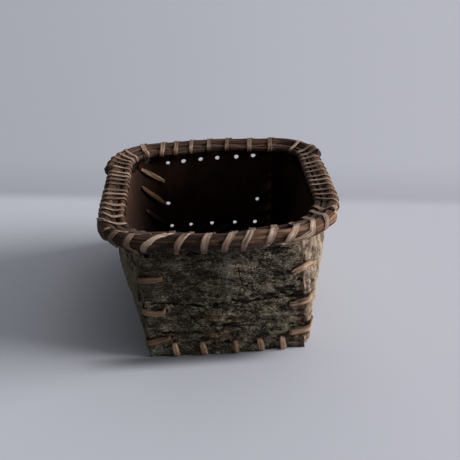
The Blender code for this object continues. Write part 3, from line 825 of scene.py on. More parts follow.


# Vine rods and hoop. Widths: share of the way along and millimetres; tones: share of the way and lightness,
# partly painted light: the front rod lightens towards its right end, where the light comes from, and the left
# rod and the hoop stay dark, in painted shade.
rodLook = {
    "front": {
        "seed": 205,
        "fibres": 1.9,
        "fibre": 0.15,
        "bump": 0.15,
        "widths": ((0, 9.8), (0.12, 10.8), (0.32, 10.8), (0.42, 11.8), (0.59, 10.7))
        + ((0.66, 9.9), (0.75, 8.6), (0.84, 8.2), (0.93, 9.4), (1, 11.0)),
        "tones": ((0, 0), (0.35, 0.12), (0.5, 0.32), (0.65, 0.55), (0.8, 0.8), (1, 1)),
    },
    "right": {
        "seed": 215,
        "fibres": 1.4,
        "fibre": 0.12,
        "bump": 0.16,
        "widths": ((0, 10.0), (0.1, 9.0), (1, 8.8)),
        "tones": ((0, 0.3), (1, 0.4)),
    },
    "back": {
        "seed": 225,
        "fibres": 1.4,
        "fibre": 0.12,
        "bump": 0.18,
        "widths": ((0, 11.0), (0.08, 9.2), (0.9, 8.6), (1, 10.2)),
        "tones": ((0, 0.3), (1, 0.2)),
    },
    "left": {
        "seed": 235,
        "fibres": 1.4,
        "fibre": 0.12,
        "bump": 0.14,
        "widths": ((0, 8.2), (0.7, 8.6), (1, 11.8)),
        "tones": ((0, 0.2), (1, 0.1)),
    },
    "hoop": {
        "seed": 245,
        "fibres": 1.0,
        "fibre": 0.09,
        "bump": 0.12,
        "width": 0.0053,
        "drop": 0.0034,
        "rest": 0.3,
        "tones": ((0, 0.1), (1, 0.1)),
    },
    "wander": 0.0005,
    "inward": 0.0005,
    "rise": 0.0005,
    "endReach": 0.014,
    "rodSpacing": 0.0011,
    "rodSides": 30,
    "rodCaps": (0.25, 0.45),  # how far the rounded ends reach, in radii
    "hoopSpacing": 0.0014,
    "hoopSides": 18,
    "hoopCaps": (0.5, 0.5),
}
rodEnds = {  # where each rod starts and ends round the mouth, and how far its ends stand off outward and up
    "left": ((left, 0.0400), (left, -0.0705), (-0.0010, 0), (0.0002, -0.0006)),
    "back": ((right, 0.0510), (left, 0.0370), (0.0010, 0.0010), (0.0031, 0.0004)),
    "front": ((left, -0.0722), (right, -0.0640), (-0.0006, -0.0008), (0.0008, 0.0004)),
    "right": ((right, -0.0590), (right, 0.0475), (-0.0016, -0.0010), (-0.0014, -0.0006)),
}


def rodRun(name):
    start, finish = ringAt(*rodEnds[name][0]), ringAt(*rodEnds[name][1])
    return start - ring if start > finish else start, finish


rodRuns = {name: rodRun(name) for name in rodEnds}


def rodSpot(name, s):  # middle, way out, radius and reach outward of an outer rod at a distance round the mouth
    look, (start, finish) = rodLook[name], rodRuns[name]
    s = s % ring - ring if start <= s % ring - ring <= finish else s % ring
    share = (s - start) / (finish - start)
    radius = float(np.interp(share, *zip(*look["widths"]))) / 2000
    centre, out = rodCentre(s, True), rodCentre(s, True) - rodCentre(s, False)
    out.z = 0
    out.normalize()
    off = rodLook["wander"] * (noiseAt(s / 0.02 + 9, look["seed"], 3) - 0.5)
    rise = rodLook["rise"] * (noiseAt(s / 0.028 + 4, look["seed"], 8) - 0.5)
    for gone, (endOff, endRise) in ((s - start, rodEnds[name][2]), (finish - s, rodEnds[name][3])):
        near = math.exp(-((gone / rodLook["endReach"]) ** 2))
        off, rise = off + endOff * near, rise + endRise * near
    spare = radius - box["outerRod"] / 2
    middle = centre + out * (off - rodLook["inward"]) + up * (rise - max(0, spare) * rodLook["hoop"]["rest"])
    return middle, out, radius, max(radius, box["outerRod"] / 2 - rodLook["inward"])


def rodAt(s):  # the outer rod at a distance round the mouth
    for name, (start, finish) in rodRuns.items():
        if any(start <= s % ring - turn <= finish for turn in (0, ring)):
            return name
    return min(rodRuns, key=lambda name: min(abs((s - end) % ring) for end in rodRuns[name]))


def rimFrame(s):  # the rods' middles, the ways out and along the rim, the outer rod's radius and reach outward
    outer, out, radius, wide = rodSpot(rodAt(s), s)
    inner = rodCentre(s, False)
    inner.z -= rodLook["hoop"]["drop"] * float(step(-0.048, -0.070, inner.y))
    return outer, inner, out, up.cross(out), radius, wide


def makeRod(name, materials):
    start, finish = rodRuns[name]
    count = int((finish - start) / rodLook["rodSpacing"])
    stops = []
    for s in [mix(start, finish, i / count) for i in range(count + 1)]:
        middle, out, radius, wide = rodSpot(name, s)
        stops.append((middle, out, radius, s - start, wide / radius))
    title, nodes = "rimRod" + name.capitalize(), ["outer_rod_" + name]
    return tube(title, stops, rodLook["rodSides"], rodLook[name], nodes, materials, rodLook["rodCaps"])


def makeHoop(materials):
    look = rodLook["hoop"]
    start, spacing = halfTurn + 0.07, rodLook["hoopSpacing"]
    finish = start + ring - spacing
    count = int((finish - start) / spacing)
    stops = []
    for s in [mix(start, finish, i / count) for i in range(count + 1)]:
        _, inner, out, *_ = rimFrame(s)
        stops.append((inner, out, look["width"] / 2, s - start, 1))
    return tube("rimHoop", stops, rodLook["hoopSides"], look, ["inner_hoop"], materials, rodLook["hoopCaps"])


# Strips of bark: a smooth and closely spaced way through places, each a point, way across, width and tone.
def curveThrough(path, spacing):
    made = []
    for i in range(len(path) - 1):
        spots = [path[max(0, min(len(path) - 1, i + j))] for j in (-1, 0, 1, 2)]
        (start, across, width, tone), (finish, nextAcross, nextWidth, nextTone) = spots[1:3]
        pieces = max(2, int((finish - start).length / spacing))
        for piece in range(pieces + (i == len(path) - 2)):
            x = piece / pieces
            weights = (
                -0.5 * x + x * x - 0.5 * x**3,
                1 - 2.5 * x * x + 1.5 * x**3,
                0.5 * x + 2 * x * x - 1.5 * x**3,
                -0.5 * x * x + 0.5 * x**3,
            )
            point = sum((spot[0] * w for spot, w in zip(spots, weights)), Vector())
            wide = mix(width, nextWidth, x * x * (3 - 2 * x))
            made.append((point, across.lerp(nextAcross, x), wide, mix(tone, nextTone, x)))
    return made


stripLook = {
    "thick": 0.0009,
    "spacing": 0.0008,
    "curl": 0.15,
    "edgeNoise": 0.26,
    "ribs": 0.00036,
    "thinEdge": 0.45,
}
profile = (-0.5, -0.46, -0.33, -0.17, 0.0, 0.17, 0.33, 0.46, 0.5)


def flatStrip(name, paths, seed, finish):  # each path: point, way across, width and tone at each place along it
    look = stripLook
    spots, faces, places, tones = [], [], [], []
    sides = 2 * len(profile)
    for path in paths:
        stops = curveThrough(path, look["spacing"])
        points = [stop[0] for stop in stops]
        run, first = 0, len(spots)
        for i, (point, across, width, tone) in enumerate(stops):
            run += (point - points[i - 1]).length if i else 0
            ahead = headingAt(points, i)
            across = (across - ahead * across.dot(ahead)).normalized()
            out = across.cross(ahead)
            edges = np.array([run / 0.005, run / 0.005 + 40])
            wobble = look["edgeNoise"] * (layeredNoise(edges, np.array([1.5, 8.5]), seed) - 0.5)
            curl = look["curl"] * width * (noiseAt(run / 0.02, 3.3, seed + 5) - 0.35)
            top, under = [], []
            for share in profile:
                edge = abs(share) * 2
                middle = point + across * (share * width * (1 + float(wobble[0] if share < 0 else wobble[1])))
                ribs = look["ribs"] * (noiseAt(share * 11 + 20, run / 0.012, seed + 9) - 0.5)
                lift, half = curl * edge**2, look["thick"] / 2 * (1 - look["thinEdge"] * edge**6)
                top.append(tuple(middle + out * (half + ribs + lift)))
                under.append(tuple(middle + out * (lift - half)))
            spots += top + under[::-1]
            places += [(run, share * width, seed / 100 + first / 9000) for share in profile + profile[::-1]]
            tones += [tone] * sides
        last = first + (len(stops) - 1) * sides
        for start in range(first, last, sides):
            for i in range(sides):
                a, b = start + i, start + (i + 1) % sides
                faces.append((a, a + sides, b + sides, b))
        for i in range(len(profile) - 1):
            j = sides - 1 - i
            faces.append((first + i, first + i + 1, first + j - 1, first + j))
            faces.append((last + j, last + j - 1, last + i + 1, last + i))
    mesh = newMesh(name, spots, faces, (finish,))
    vectorLayer(mesh, "place", places)
    floatLayer(mesh, "tone", tones)
    node = "".join("_" + letter.lower() if letter.isupper() else letter for letter in name)
    return finishPiece(name, mesh, [node], 70)


lashLook = {
    "holeWidth": 0.0020,
    "lift": 0.0004,
    "mouth": 0.0023,
    "upward": {front: 0.0010, back: 0.0031, "side": 0.0008},  # from the hole to where the strip comes out
    "ridge": {front: 0.0021, back: 0.0024, "side": 0.0036},  # over the rods' middle, where it crosses the wall
    # painted shade: how much darker the front's strips are over the ridge and the hoop
    "dim": {front: 0.5, back: 0.0, "side": 0.0},
    "slant": 0.15,
    "shade": 0.28,  # how much darker a strip is at its foot
    "leastTone": 0.03,
    # painted light: how much lighter a strip is on the rod's crown
    "crownTone": 0.06,
    # painted shade: the tone of the strips inside the box, nearly black
    "inside": -0.5,
    "slimmest": 0.55,
    "tail": 0.004,
    "tailEnd": (0.0034, 0.0055),  # inward and down
    "behind": bark / 2 + 0.0013,
    "starts": ((0.006, 0.7), (0.0025, 0.6)),  # height over the first hole and share of the width
    # painted shade: the dark tone of a strip where it comes out of its hole
    "holeTone": 0.16,
    "placesAt": (-60, 4, 56, 96),  # degrees round the outer rod
    "widths": ((-60, -10, 30, 96), (0.6, 0.95, 1.12, 0.95)),
    # painted light: a strip darkens under the rod and lightens towards its top
    "tonesAt": (-60, 0, 50),
    "hoopWidth": 0.85,
    "onRod": (-58, -36, -14, 8, 26, 44, 62, 80, 96),  # degrees round the outer rod
    "onHoop": (84, 110, 137, 165, 195, 215),
}


def rimHole(s, drop):
    kind, where, place = ringPlace(s)
    height = rimHeight(0 if kind == "side" else where * box["baseDepth"] / 2)
    return wallPoint(kind, where, place, height - drop)


def overRim(places, far, tone, width, which):
    # from under the outer rod over both rods to the inside; places round the mouth: of the hole, of the rod's
    # front, shoulder and crown, and of the wall's ridge
    path, look = [], lashLook
    if not isinstance(tone, tuple):
        tone = (max(look["leastTone"], tone - look["shade"]), tone + look["crownTone"])
    lowTone, highTone = tone
    steps = look["onRod"]
    spots = [float(np.interp(degrees, look["placesAt"], places[:4])) for degrees in steps]
    for i, (degrees, place) in enumerate(zip(steps, spots)):
        outer, _, out, along, radius, sideways = rimFrame(place)
        angle = math.radians(degrees)
        reach, sideways = radius + look["lift"], sideways + look["lift"]
        before, after = max(0, i - 1), min(len(steps) - 1, i + 1)
        slope = (spots[after] - spots[before]) / (math.radians(steps[after] - steps[before]) * reach)
        slim = max(look["slimmest"], 1 / math.hypot(1, slope)) if degrees > 20 else 1
        wide = width * slim * float(np.interp(degrees, *look["widths"]))
        shown = float(np.interp(degrees, look["tonesAt"], (lowTone, mix(lowTone, highTone, 0.6), highTone)))
        point = outer + out * (math.cos(angle) * sideways) + up * (math.sin(angle) * reach)
        path.append((point, along, wide, shown))
    top, dim, wide = places[4], look["dim"][which], width * look["hoopWidth"]
    place = mix(top, far, 0.1)
    out, along = rimFrame(place)[2:4]
    level = rodCentre(place, True) - out * (box["outerRod"] / 2 + box["gap"] + bark / 2)
    path.append((level + up * look["ridge"][which], along, wide, highTone - dim / 2))
    reach = rodLook["hoop"]["width"] / 2 + look["lift"]
    for i, degrees in enumerate(look["onHoop"]):
        _, inner, out, along, *_ = rimFrame(mix(top, far, (i + 2) / 7))
        angle = math.radians(degrees)
        shown = mix(highTone - dim, look["inside"], max(0, i - 1) / 4)
        path.append((inner + (out * math.cos(angle) + up * math.sin(angle)) * reach, along, wide, shown))
    return path


def lashing(name, wraps, which, seed, extras=()):
    # wraps: the five places of overRim, tone, width and depth of the hole
    path, look = [], lashLook
    mouth, thin, hidden, upward = look["mouth"], look["holeWidth"], look["inside"], look["upward"][which]
    for i, (places, tone, width, drop) in enumerate(wraps):
        low, top = places[0], places[4]
        spot, out, upright = rimHole(low, drop)
        along = rimFrame(low)[3]
        spot += upright * upward
        if i == 0:
            inside = spot - out * look["behind"]
            for rise, share in look["starts"]:
                path.append((inside + upright * rise, along, width * share, hidden))
        path.append((spot - out * mouth, along, thin, hidden))
        path.append((spot + out * mouth, along, mix(thin, width, 0.45), look["holeTone"]))
        following = wraps[i + 1] if i + 1 < len(wraps) else None
        far = mix(top, following[0][0] if following else top + look["tail"], look["slant"])
        path += overRim(places, far, tone, width, which)
        if following:
            goal, way, _ = rimHole(following[0][0], following[3])
            start, goal = path[-1][0], goal + up * upward - way * (bark / 2 + 0.001)
            across = way.cross(goal - start).normalized()
            if across.dot(along) < 0:
                across.negate()
            path.append((mix(start, goal, 0.35) - way * 0.0002, across, width * 0.8, hidden))
            path.append((mix(start, goal, 0.7), across, width * 0.55, hidden))
        else:
            _, inner, out, along, *_ = rimFrame(top + look["tail"])
            inward, down = look["tailEnd"]
            path.append((inner - out * inward - up * down, along, width * 0.7, hidden))
    return flatStrip(name, [path, *extras], seed, stripFinish)


# each wrap: places of the hole, of the rod's front, shoulder and crown and of the ridge, tone, width and depth.
# The tones are partly painted light: on the front they rise from left to right, towards the light, and the
# back's are low, in painted shade.
frontWraps = (
    ((-70.5, -77, -75.5, -74, -71.5), 0.20, 4.1, 17),
    ((-61, -66, -64.5, -63.2, -61.5), 0.32, 4.4, 16),
    ((-56.8, -55.8, -50.5, -39.5, -37.5), 0.54, 5.4, 13.4),
    ((-34.6, -33.7, -30, -26.5, -24.3), 0.44, 5.2, 13),
    ((-15, -14.4, -12.6, -10.2, -8.7), 0.44, 5.6, 12.5),
    ((-0.6, 0.2, 4.0, 6.2, 8.0), 0.44, 5.6, 12),
    ((13.4, 14.2, 17.8, 19.4, 21.0), 0.52, 5.6, 12.5),
    ((30.0, 33.0, 35.4, 36.3, 37.6), 0.72, 6.2, 12.5),
    ((42.5, 45.6, 49.0, 50.8, 54.0), 0.80, 5.6, 12),
    ((45.8, 59.6, 61.5, 64.0, 68.0), (0.94, 0.78), 4.8, 12.5),
    ((70, 72, 73.6, 75, 78.0), 0.74, 4.6, 13),
    ((88, 88, 88, 87.5, 86), 0.60, 4.4, 12.5),
)
backWraps = (
    ((60, 54.8, 53.8, 51.8, 51.5), 0.0, 4.4, 12),
    ((36.3, 34.8, 33.8, 32.8, 32.4), 0.12, 4.6, 9),
    ((20.6, 15.8, 13.8, 12.3, 11.8), 0.12, 4.6, 10),
    ((2.7, -1.2, -3.2, -4.7, -4.9), 0.16, 4.2, 11),
    ((-12.9, -17.2, -19.2, -21.2, -21.4), 0.3, 4.0, 11.5),
    ((-29, -32.2, -33.7, -35.2, -35.2), 0.22, 4.4, 11.8),
    ((-43.4, -45.2, -46.2, -47.5, -47.7), 0.3, 5.0, 12.6),
    ((-56, -61.2, -62.2, -63.6, -63.6), 0.42, 5.2, 12.5),
)
cornerWraps = (  # the last ones of the left side fan out across the front corner
    ((-122, -121, -118.5, -116, -113.5), 0.34, 3.4, 12.5),
    ((-115, -114, -111, -108, -105), 0.5, 3.2, 12.5),
    ((-108.5, -107.5, -103.5, -99.5, -95), 0.36, 3.4, 12.5),
    ((-101.5, -100.5, -95, -90, -84.5), 0.52, 3.6, 12.5),
)
sideWraps = {
    "closer": 0.85,  # below 1: closer together towards the front, on the right
    "last": 0.070,
    "width": (0.0024, 0.0033),
    "tone": (0.0, 0.55),
    "depth": (0.0115, 0.0135),
    "stray": 0.0010,
    "Right": {"first": 0.0962, "count": 13, "slant": (0.0008, 0.0034)},
    "Left": {"first": 0.1240, "count": 12, "slant": (0.0030, 0.0055)},
}
splinterLook = (0.0012, 0.62)  # width and tone
splinters = (  # loose ends on the front rod: place, degrees round the rod and height over it
    ((37, -52, 0.8), (40.5, -30, 1.8), (43.8, -64, 1.6), (48.5, -50, 1.4)),
    ((33, -60, 1.0), (31, -34, 1.6), (28, -58, 1.8)),
)


def placed(wraps, ringed):  # wraps with their places as distances round the mouth, and sizes in metres
    made = []
    for places, tone, width, drop in wraps:
        made.append((tuple(ringed(p / 1000) for p in places), tone, width / 1000, drop / 1000))
    return made


def onRod(place, degrees, off):  # a point standing off the outer rod, at a place round the mouth
    outer, _, out, _, radius, wide = rimFrame(place / 1000)
    angle = math.radians(degrees)
    wide, radius = wide + off / 1000, radius + off / 1000
    return outer + out * (math.cos(angle) * wide) + up * (math.sin(angle) * radius)


def makeLashings():
    chance = random.Random(7)
    look = sideWraps
    width, tone = splinterLook
    loose = [[(onRod(*spot), up, width, tone) for spot in spots] for spots in splinters]
    lashing("rimLashingFront", placed(frontWraps, lambda p: p), front, 301, loose)
    lashing("rimLashingBack", placed(backWraps, lambda p: halfTurn - p), back, 311)
    spans = (
        ("Right", look["Right"]["first"], halfTurn - look["last"]),
        ("Left", halfTurn + look["last"], ring - look["Left"]["first"]),
    )
    for number, (name, start, finish) in enumerate(spans):
        wraps, count = [], look[name]["count"]
        for i in range(count):
            share = (i + 0.5) / count
            share = share if name == "Left" else 1 - (1 - share) ** look["closer"]
            low = mix(start, finish, share) + chance.uniform(-1, 1) * look["stray"]
            top = low + chance.uniform(*look[name]["slant"])
            tone, width = chance.uniform(*look["tone"]), chance.uniform(*look["width"])
            places = (low, mix(low, top, 0.3), mix(low, top, 0.7), top, top)
            wraps.append((places, tone, width, chance.uniform(*look["depth"])))
        if name == "Left":
            wraps += placed(cornerWraps, lambda p: ring + p)
        lashing("rimLashing" + name, wraps, "side", 321 + 10 * number)


laceLook = {
    "width": 0.0054,
    "holeWidth": 0.0026,
    "innerWidth": 0.0042,
    "start": 0.019,
    "tucked": 6,
    "wider": 1.2,  # those at the front right
    "lift": bark / 2 + 0.0014,
    "inward": 0.0026,  # from the sheet's middle to where a strip leaves its hole inside
    "outward": 0.0022,
    "uneven": (0.92, 1.08),
    "insideWidths": ((0.12, 0.8), (0.4, 1.0), (0.7, 0.9), (0.92, 0.6)),  # share of the way and of the width
    "outsideShares": (0.80, 0.5, 0.15),
    "ahead": 0.0006,
    "openAhead": 0.0026,  # at the hole that stays open
    "tailDrops": (0.003, 0.007),
}
evenLace = tuple((share, 15.0, 0, 0, 10.5, 0) for share in (0.675, 0.405, 0.157))
# each corner's tones outside and inside and its stitches from the top: share of the height, and in millimetres
# the inset of the end's hole, the rise at the corner, the sag, the reach of the side's hole and its rise
# the outside tones are partly painted light: the front right, which faces the light, is lighter than the front
# left; the inside tones below 0 are painted shade
laces = {
    (left, front): (
        (0.22, 0.34, 0.30),
        (-0.6,) * 3,
        (
            (0.680, 15.5, -0.5, 0, 3.6, -0.5),
            (0.410, 15.5, 0.5, -2.2, 3.6, 0.5),
            (0.176, 17.0, -4.5, 0, 3.6, -4.5),
        ),
    ),
    (right, front): (
        (0.80, 0.74, 0.66),
        (-0.6,) * 3,
        (
            (0.672, 9.6, 3.2, 0, 10.5, 0.5),
            (0.400, 12.0, 1.8, 0, 10.5, 0.8),
            (0.150, 13.5, 1.8, 0, 10.5, 0.8),
        ),
    ),
    (left, back): ((0.4,) * 3, (0.5, 0.0, -0.4), evenLace),
    (right, back): ((0.4,) * 3, (-0.6,) * 3, evenLace),
}


def sideAlong(side, end, distance, t):  # share along a side sheet at a distance from its edge at one end
    share = distance / float(sum(sideSpans(side, t)[:3]))
    return share if end == front else 1 - share


def laceHoles(side, end):  # each stitch's end hole (place, height) and side hole (share along, height)
    found = []
    endHeight, sideHeight = float(rimHeight(end * box["baseDepth"] / 2)), float(rimHeight(0))
    for t, inset, _, _, reach, sideRise in laces[side, end][2]:
        edge = float(endEdge(side, t))
        level = t * sideHeight + sideRise / 1000
        far = abs(edge) - float(bend(side, end, np.float64(level / sideHeight))[1]) + reach / 1000
        along = sideAlong(side, end, far, level / sideHeight)
        found.append((edge - side * inset / 1000, t * endHeight, along, level))
    return found


def cornerLacing(name, side, end, seed):
    chance, look = random.Random(seed), laceLook
    thin, lift, inward = look["holeWidth"], look["lift"], look["inward"]
    wider = look["wider"] if (side, end) == (right, front) else 1
    bulge = sheetLook["right" if side == right else "left"]["bulge"] if end == front else 0
    tones, innerTones, stitches = laces[side, end]
    holes = laceHoles(side, end)
    path = []

    def inner(leaving, goal, tone):
        for share, wide in look["insideWidths"]:
            path.append((mix(leaving, goal, share), up, look["innerWidth"] * wide, tone))

    for i, ((x, level, along, sideLevel), (t, inset, rise, sag, reach, _)) in enumerate(zip(holes, stitches)):
        tone, inside = tones[i], innerTones[i]
        wide = look["width"] * chance.uniform(*look["uneven"]) * wider
        spot, out, _ = wallPoint("end", end, x, level)
        if i == 0:
            other, otherOut, _ = wallPoint("side", side, along, sideLevel + look["start"])
            path.append((other - otherOut * lift, up, thin, inside))
            inner(other - otherOut * lift, spot - out * lift, inside)
        ahead = Vector((side, 0, 0)) * look["openAhead" if (side, end, i) == (right, front, 0) else "ahead"]
        path.append((spot - out * inward + ahead, up, thin, inside))
        # painted shade: darker where the strip comes out of its hole
        path.append((spot + out * look["outward"] + ahead * 1.3, up, mix(thin, wide, 0.35), tone - 0.2))
        edge = float(endEdge(side, t))
        for share in look["outsideShares"]:
            height = level + (rise * (1 - share) + sag * 4 * share * (1 - share)) / 1000
            point, way, _ = wallPoint("end", end, edge - side * inset / 1000 * share, height)
            narrower = 1.0 - 0.35 * max(0, share - 0.5) / 0.3
            path.append((point + way * (lift + 0.0002), up, wide * narrower, tone))
        corner, cornerOut, _ = wallPoint("end", end, edge, level + rise / 1000)
        past = cornerOut.cross(up) * side * end
        path.append((corner + cornerOut * (lift - 0.0002) + past * 0.0005, up, wide, tone))
        path.append((corner + past * (0.0013 + bulge / 2) + cornerOut * bark * 0.35, up, wide, tone))
        other, otherOut, otherUp = wallPoint("side", side, along, sideLevel)
        if reach < look["tucked"]:  # tucked in between the sheets
            # painted shade: darker where tucked in between the sheets
            path.append((corner + past * 0.0010 - cornerOut * bark * 0.8, up, wide * 0.8, -0.3))
        else:
            far = abs(edge) - float(bend(side, end, np.float64(t))[1]) + reach / 2000
            middleLevel = mix(level + rise / 1000, sideLevel, 0.6)
            half, halfOut, _ = wallPoint("side", side, sideAlong(side, end, far, t), middleLevel)
            path.append((half + halfOut * (lift + bulge - 0.0009), up, wide * 0.95, tone))
            # painted shade: a little darker at the side's hole
            path.append((other + otherOut * (0.0019 + bulge), up, mix(thin, wide, 0.4), tone - 0.1))
        path.append((other - otherOut * inward, up, thin, inside))
        leaving = other - otherOut * lift
        if i + 1 < len(holes):
            following, way, _ = wallPoint("end", end, *holes[i + 1][:2])
            inner(leaving, following - way * lift, innerTones[i + 1])
        else:
            for fall in look["tailDrops"]:
                # painted shade: the tail inside the box is nearly black
                path.append((leaving - otherUp * fall, Vector((0, end, 0)), look["width"] * 0.8, -0.6))
    return flatStrip(name, [path], seed, laceFinish)


stitchLook = {
    "beside": 0.0031,  # how far the back's strips stand beside their holes
    "height": 0.0120,
    "width": 0.0046,
    "holeWidth": 0.0024,
    "inset": 0.0075,
    "groove": 0.0009,
    # painted shade: nearly black, for the parts inside and under the box
    "hidden": -0.6,
    "lift": bark / 2 + 0.0013,
    "inward": 0.0026,
    "outward": 0.0022,
    "uneven": (0.9, 1.1),
    "downward": ((0.0085, 0.4), (0.005, 0.75), (0.0022, 0.95)),  # height and share of the lean
    "betweenShares": (0.25, 0.6, 0.85),
    "starts": (0.006, 0.003),
    "ends": (0.003, 0.007),
    "hiddenShare": 0.8,
}
# millimetres from the middle
endStitches = {front: (-41.4, -20.6, 4.6, 23.2, 40.8), back: (-41.7, -22.9, -1.9, 21, 41.2)}
endLeans = {front: (1.6, 1.8, 1.4, 1.4, 0.8), back: (-1.5,) * 5}  # how far each leans on its way down
endTones = {front: (0.72, 0.54, 0.46, 0.52, 0.62), back: (0.4,) * 5}
sideStitches = [mix(-0.061, 0.061, i / 6) * 1000 for i in range(7)]


def spansAt(side, height):  # a side sheet's spans at a height over the floor
    return [float(span) for span in sideSpans(side, np.float64(height / rimHeight(0)))]


def wallOver(kind, where, place, height):  # a wall's point over a place along the floor's edge
    if kind == "end":
        return wallPoint("end", where, place, height)
    first, run, last, start = spansAt(where, height)
    return wallPoint("side", where, (first + place - start) / (first + run + last), height)


def baseLacing(name, kind, where, seed):
    chance, look, isEnd = random.Random(seed), stitchLook, kind == "end"
    along, level = Vector((1, 0, 0)), Vector((0, where, 0))
    if not isEnd:
        along, level = Vector((0, 1, 0)), Vector((where, 0, 0))
    half = box["baseDepth" if isEnd else "baseWidth"] / 2
    thin, lift, hidden, groove = look["holeWidth"], look["lift"], look["hidden"], up * look["groove"]
    beside = -look["beside"] if (kind, where) == ("end", back) else 0
    path = []
    places = [p / 1000 for p in (endStitches[where] if isEnd else sideStitches)]
    for i, place in enumerate(places):
        wide = look["width"] * chance.uniform(*look["uneven"])
        tone = endTones[where][i] if isEnd else chance.uniform(0.2, 0.6)
        leaning = endLeans[where][i] / 1000 if isEnd else chance.uniform(-0.001, 0.001)
        spot, out, upright = wallOver(kind, where, place, look["height"])
        spot += along * beside
        if i == 0:
            path += [(spot - out * lift + upright * rise, along, wide * 0.7, hidden) for rise in look["starts"]]
        path.append((spot - out * look["inward"] - upright * 0.0006, along, thin, hidden))
        outside = spot + out * look["outward"] - upright * 0.0009
        # painted shade: darker where the strip comes out of its hole
        path.append((outside, along, mix(thin, wide, 0.5), tone - 0.25))
        for height, share in look["downward"]:
            point, way, _ = wallOver(kind, where, place + beside + leaning * share, height)
            path.append((point + way * (lift + 0.0003), along, wide, tone))
        edge = level * (half + 0.0008) + along * (place + beside + leaning) + groove
        # painted shade: darker at the floor's edge, under the box
        path.append((edge, along, wide, tone - 0.15))
        path.append((level * (half - look["inset"] + 0.001) + along * place + groove, along, wide, tone))
        under = level * (half - bark - look["inset"]) + along * place + groove
        path += [(under, along, thin, tone), (under + up * 0.0034, along, thin, tone)]
        rise = under + up * 0.0042
        if i + 1 < len(places):
            following, way, _ = wallOver(kind, where, places[i + 1], look["height"])
            goal = following - way * lift + along * beside
            spots = [mix(rise, goal, share) for share in look["betweenShares"]]
        else:
            spots = [rise - level * reach for reach in look["ends"]]
        path += [(spot, along, wide * look["hiddenShare"], hidden) for spot in spots]
    return flatStrip(name, [path], seed, laceFinish)


# Finishes: the groups that several materials use, then the materials.
socketKinds = {label: "Vector" for label in ("Place", "Middle", "Reach")}
socketKinds.update({label: "Color" for label in ("Colour", "Dirt", "Crest")})


def newGroup(name, inputs, outputs, build):  # build makes the outputs from the inputs' sockets
    group = bpy.data.node_groups.new(name, "ShaderNodeTree")
    for way, labels in (("INPUT", inputs), ("OUTPUT", outputs)):
        for label in labels:
            kind = "NodeSocket" + socketKinds.get(label, "Float")
            group.interface.new_socket(label, in_out=way, socket_type=kind)
    given, made = group.nodes.new("NodeGroupInput"), group.nodes.new("NodeGroupOutput")
    for label, result in zip(outputs, build(*[given.outputs[label] for label in inputs])):
        group.links.new(result, made.inputs[label])
    return group


def woodFibres(place, length, width):  # long fibres of vine, strips and inner bark
    x, y, z = split(place)
    along, across = reckon("DIVIDE", x, length), reckon("DIVIDE", y, width)
    place = joined(along, across, times(z, 10.0))
    fine = noise(place, 1.3, 4.0, 0.65)
    both = plus(times(noise(place, 0.35, 3.0, 0.6), 0.5), times(fine, 0.5))
    return stretch(both, 0.3, 0.7), fine


def lichenFlecks(place, size, cover):  # scattered pale flecks, as lichen and dust leave on bark
    place = scaled(place, reckon("DIVIDE", 1.0, size))
    grain = noise(place, 1.0, 5.0, 0.75)
    cells = put(treeOf((place,)), "TexVoronoi", {"Vector": place, "Scale": 0.8}).outputs["Distance"]
    level = plus(times(noise(place, 0.09, 3.0, 0.6), 0.9), times(grain, 0.8))
    mask = stretch(minus(level, minus(1.10, times(cover, 0.5))), 0.0, 0.07)
    spots = reckon("ADD", 0.35, stretch(cells, 0.42, 0.12), True)
    return reckon("MULTIPLY", mask, spots, True), grain


def softPatch(place, middle, reach, ragged):  # one soft-edged patch round a place
    x, y, _ = split(vectors("DIVIDE", vectors("SUBTRACT", place, middle), reach))
    far = put(treeOf((x,)), "VectorMath", {0: joined(x, y)}, operation="LENGTH").outputs["Value"]
    torn = times(minus(noise(place, 380.0, 4.0, 0.7), 0.5), ragged)
    return (stretch(plus(far, torn), 1.15, 0.55),)


def creviceDirtAndShade(colour, dirt, crest, height, amount):  # dirt and painted shade in the furrows, paler crests
    share = reckon("MULTIPLY", stretch(height, 0.58, 0.30), amount, True)
    dark = blend(share, colour, dirt)
    return (blend(times(stretch(height, 0.72, 0.95), 0.45), dark, crest),)


fibres = newGroup("woodFibres", ("Place", "Length", "Width"), ("Streaks", "Height"), woodFibres)
flecks = newGroup("lichenFlecks", ("Place", "Size", "Cover"), ("Flecks", "Height"), lichenFlecks)
patch = newGroup("softPatch", ("Place", "Middle", "Reach", "Ragged"), ("Patch",), softPatch)
crevice = newGroup("creviceDirtAndShade", ("Colour", "Dirt", "Crest", "Relief", "Amount"), ("Colour",), creviceDirtAndShade)


def use(group, inputs):
    return put(treeOf(inputs.values()), "Group", inputs, node_tree=group).outputs


def layerOf(tree, name, kind="Fac"):  # what the mesh's own layer of values says at a point
    return put(tree, "Attribute", attribute_name=name).outputs[kind]


def layered(colour, *layers):  # each layer: its tint, mask and strength
    for tint, mask, strength in layers:
        colour = blend(mask if strength == 1 else times(mask, strength), colour, tint)
    return colour


# darkens the furrows with dirt and painted shade, and makes the crests paler
def wornAndShaded(tree, look, colour, amount, crest=None):
    given = {"Colour": colour, "Dirt": look["dirt"], "Crest": crest or look["crest"]}
    return use(crevice, {**given, "Relief": layerOf(tree, "relief"), "Amount": amount})["Colour"]


def dress(finish, colour, roughness, height, strength, distance, specular=0.5):
    # roughness: the least one, the mask where it is more, and how much more
    made, tree, shader = finish
    tree.links.new(colour, shader.inputs["Base Color"])
    tree.links.new(plus(roughness[0], times(*roughness[1:])), shader.inputs["Roughness"])
    shader.inputs["Specular IOR Level"].default_value = specular
    bump = put(tree, "Bump", {"Height": height, "Strength": strength, "Distance": distance})
    tree.links.new(bump.outputs[0], shader.inputs["Normal"])
    return made


